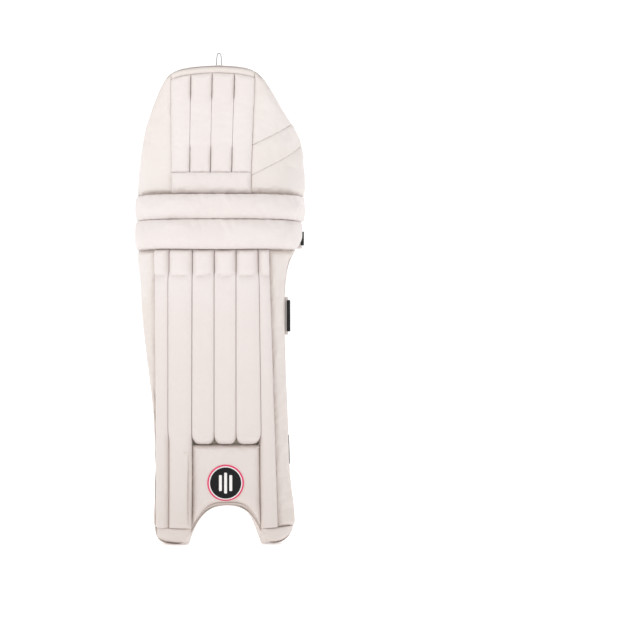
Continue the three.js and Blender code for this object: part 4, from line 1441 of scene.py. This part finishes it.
def buckled(along, heights):
    """The calf strap's creases near its middle: one upright, and one that runs along it."""
    line = 0.46 + 0.05 * (heights - 0.5)
    upright = -1.3 * np.exp(-((along - line) / 0.008) ** 2)
    upright = upright * smooth(heights, 0.35, 0.6) * (1 - smooth(heights, 0.85, 1))
    lengthwise = -1.2 * np.exp(-((heights - 0.45 - 0.35 * (along - 0.5)) / 0.035) ** 2)
    return upright + lengthwise * np.exp(-((along - 0.53) / 0.07) ** 4)


def build_straps():
    build_strap("knee_strap", (440, 471), (440, 471), 12, 16, (SHIN_TOP + ROLL_SPLIT) / 2, 5, no_creases)
    calf = build_strap("calf_strap", (310, 367), (310, 367), 13, 15, None, 6, buckled)
    build_strap("ankle_strap", (101, 168), (111, 165), 4, 16, None, 7, no_creases)
    place = on_surface(calf, 1, 0.3, 0.5)
    x, z = 72, 335.5
    ring = [circle(x, z, 19.5), circle(x, z, 18)]
    attach(printed("calf_badge_ring", ring, place, "badge_pink", 2.5), "calf_strap")
    for k, (offset, tall) in enumerate(((-5.6, 8.5), (0, 11), (5.6, 8.5))):
        loop = bar(x + offset, z, 1.6, tall, 1.0)
        attach(printed(f"calf_badge_bar_{k + 1}", [loop], place, "badge_black", 2.0), "calf_strap")


# ---- Print on the centre bolster: blocks and a chevron, with no lettering ----
LINE = 1.3  # width of the thin line round a block


def build_print():
    place = on_surface(bpy.data.objects["bolster_centre_cover"], 1, 0.4, 0.5)

    def put(name, loops, material):
        attach(printed(f"bolster_{name}", loops, place, material), "bolster_centre")
    for k, (low, high, slant) in enumerate(((224, 250, 0), (257, 268, 4), (275, 301, 0), (372, 398, 0),
                                            (404, 414, 4))):
        corners = [(-19, low), (21, low + slant), (21, high + slant), (-19, high)]
        block = rounded(corners, 5)
        put(f"block_{k + 1}", [block], "print_pink")
        ways = ((-LINE, -LINE), (LINE, -LINE), (LINE, LINE), (-LINE, LINE))
        outline = rounded([(x + dx, z + dz) for (x, z), (dx, dz) in zip(corners, ways)], 6)
        put(f"line_{k + 1}", [outline, block], "print_grey")
    for k, x in enumerate((-2, 9)):
        put(f"dash_{k + 1}", [bar(x, 207.5, 3.2, 8.5, 2)], "print_black")
    chevron = [(-20, 198), (7, 171), (31, 190), (31, 199), (7, 181), (-20, 209)]
    put("chevron", [chevron], "print_grey")


build_canes()
build_wings()
build_instep()
build_foot()
build_lining()
build_bolsters()
build_foot_pads()
build_rolls()
build_cup()
build_cores()
build_webs()
build_hat_channels()
build_hat_bands()
build_hat_panels()
build_edges()
build_loop()
build_badges()
build_straps()
build_print()


# ---- Stage, in metres ----
SWEEP, CURVE_START, CURVE = 12.0, 2.2, 1.2


def area_light(name, place, aim, size, power, tint=(1.0, 1.0, 1.0)):
    data = bpy.data.lights.new(name, "AREA")
    data.shape = "DISK"
    data.size = size
    data.energy = power
    data.color = tint
    lamp = bpy.data.objects.new(name, data)
    bpy.context.scene.collection.objects.link(lamp)
    lamp.location = place
    lamp.rotation_euler = (Vector(aim) - Vector(place)).to_track_quat("-Z", "Y").to_euler()


def build_sweep():
    """A pale floor that curves up behind the pad."""
    turns = np.linspace(0.1, math.pi / 2, 14)
    profile = [(-SWEEP, 0.0), (CURVE_START, 0.0)]
    profile += [(CURVE_START + CURVE * math.sin(t), CURVE * (1 - math.cos(t))) for t in turns]
    profile.append((CURVE_START + CURVE, 5.0))
    points = [(x / MM, y / MM, z / MM) for y, z in profile for x in (-SWEEP, SWEEP)]
    faces = [[2 * i, 2 * i + 1, 2 * i + 3, 2 * i + 2] for i in range(len(profile) - 1)]
    g = Graph("paper")
    tint = g.blend(g.noise(3.0), (0.93, 0.93, 0.93), (0.9, 0.9, 0.9))
    g.finish(tint, 0.9, Emission_Color=(1.0, 1.0, 1.0, 1.0), Emission_Strength=0.2)
    mesh_object("sweep", points, faces, "paper")


def build_lights():
    world = bpy.data.worlds.new("sky")
    world.use_nodes = True
    background = world.node_tree.nodes["Background"]
    background.inputs["Color"].default_value = (1.0, 1.0, 1.0, 1.0)
    background.inputs["Strength"].default_value = 0.5
    bpy.context.scene.world = world
    area_light("key", (-1.9, -2.0, 2.2), (0, 0, 0.4), 0.9, 16, (1.0, 0.985, 0.97))
    area_light("fill", (2.4, -1.9, 1.0), (0, 0, 0.35), 1.8, 6, (1.0, 0.99, 0.98))
    area_light("back", (0.9, 2.0, 1.9), (0, 0, 0.35), 1.0, 12)


def build_camera():
    scene = bpy.context.scene
    camera = bpy.data.cameras.new("camera")
    camera.lens = 97
    camera.sensor_width = 36
    view = bpy.data.objects.new("camera", camera)
    scene.collection.objects.link(view)
    view.location = (0.143, -2.54, 0.3396)
    view.rotation_euler = (math.pi / 2, 0, 0)
    scene.camera = view
    scene.view_settings.view_transform = "Standard"
    scene.view_settings.exposure = 0.5


build_sweep()
build_lights()
build_camera()
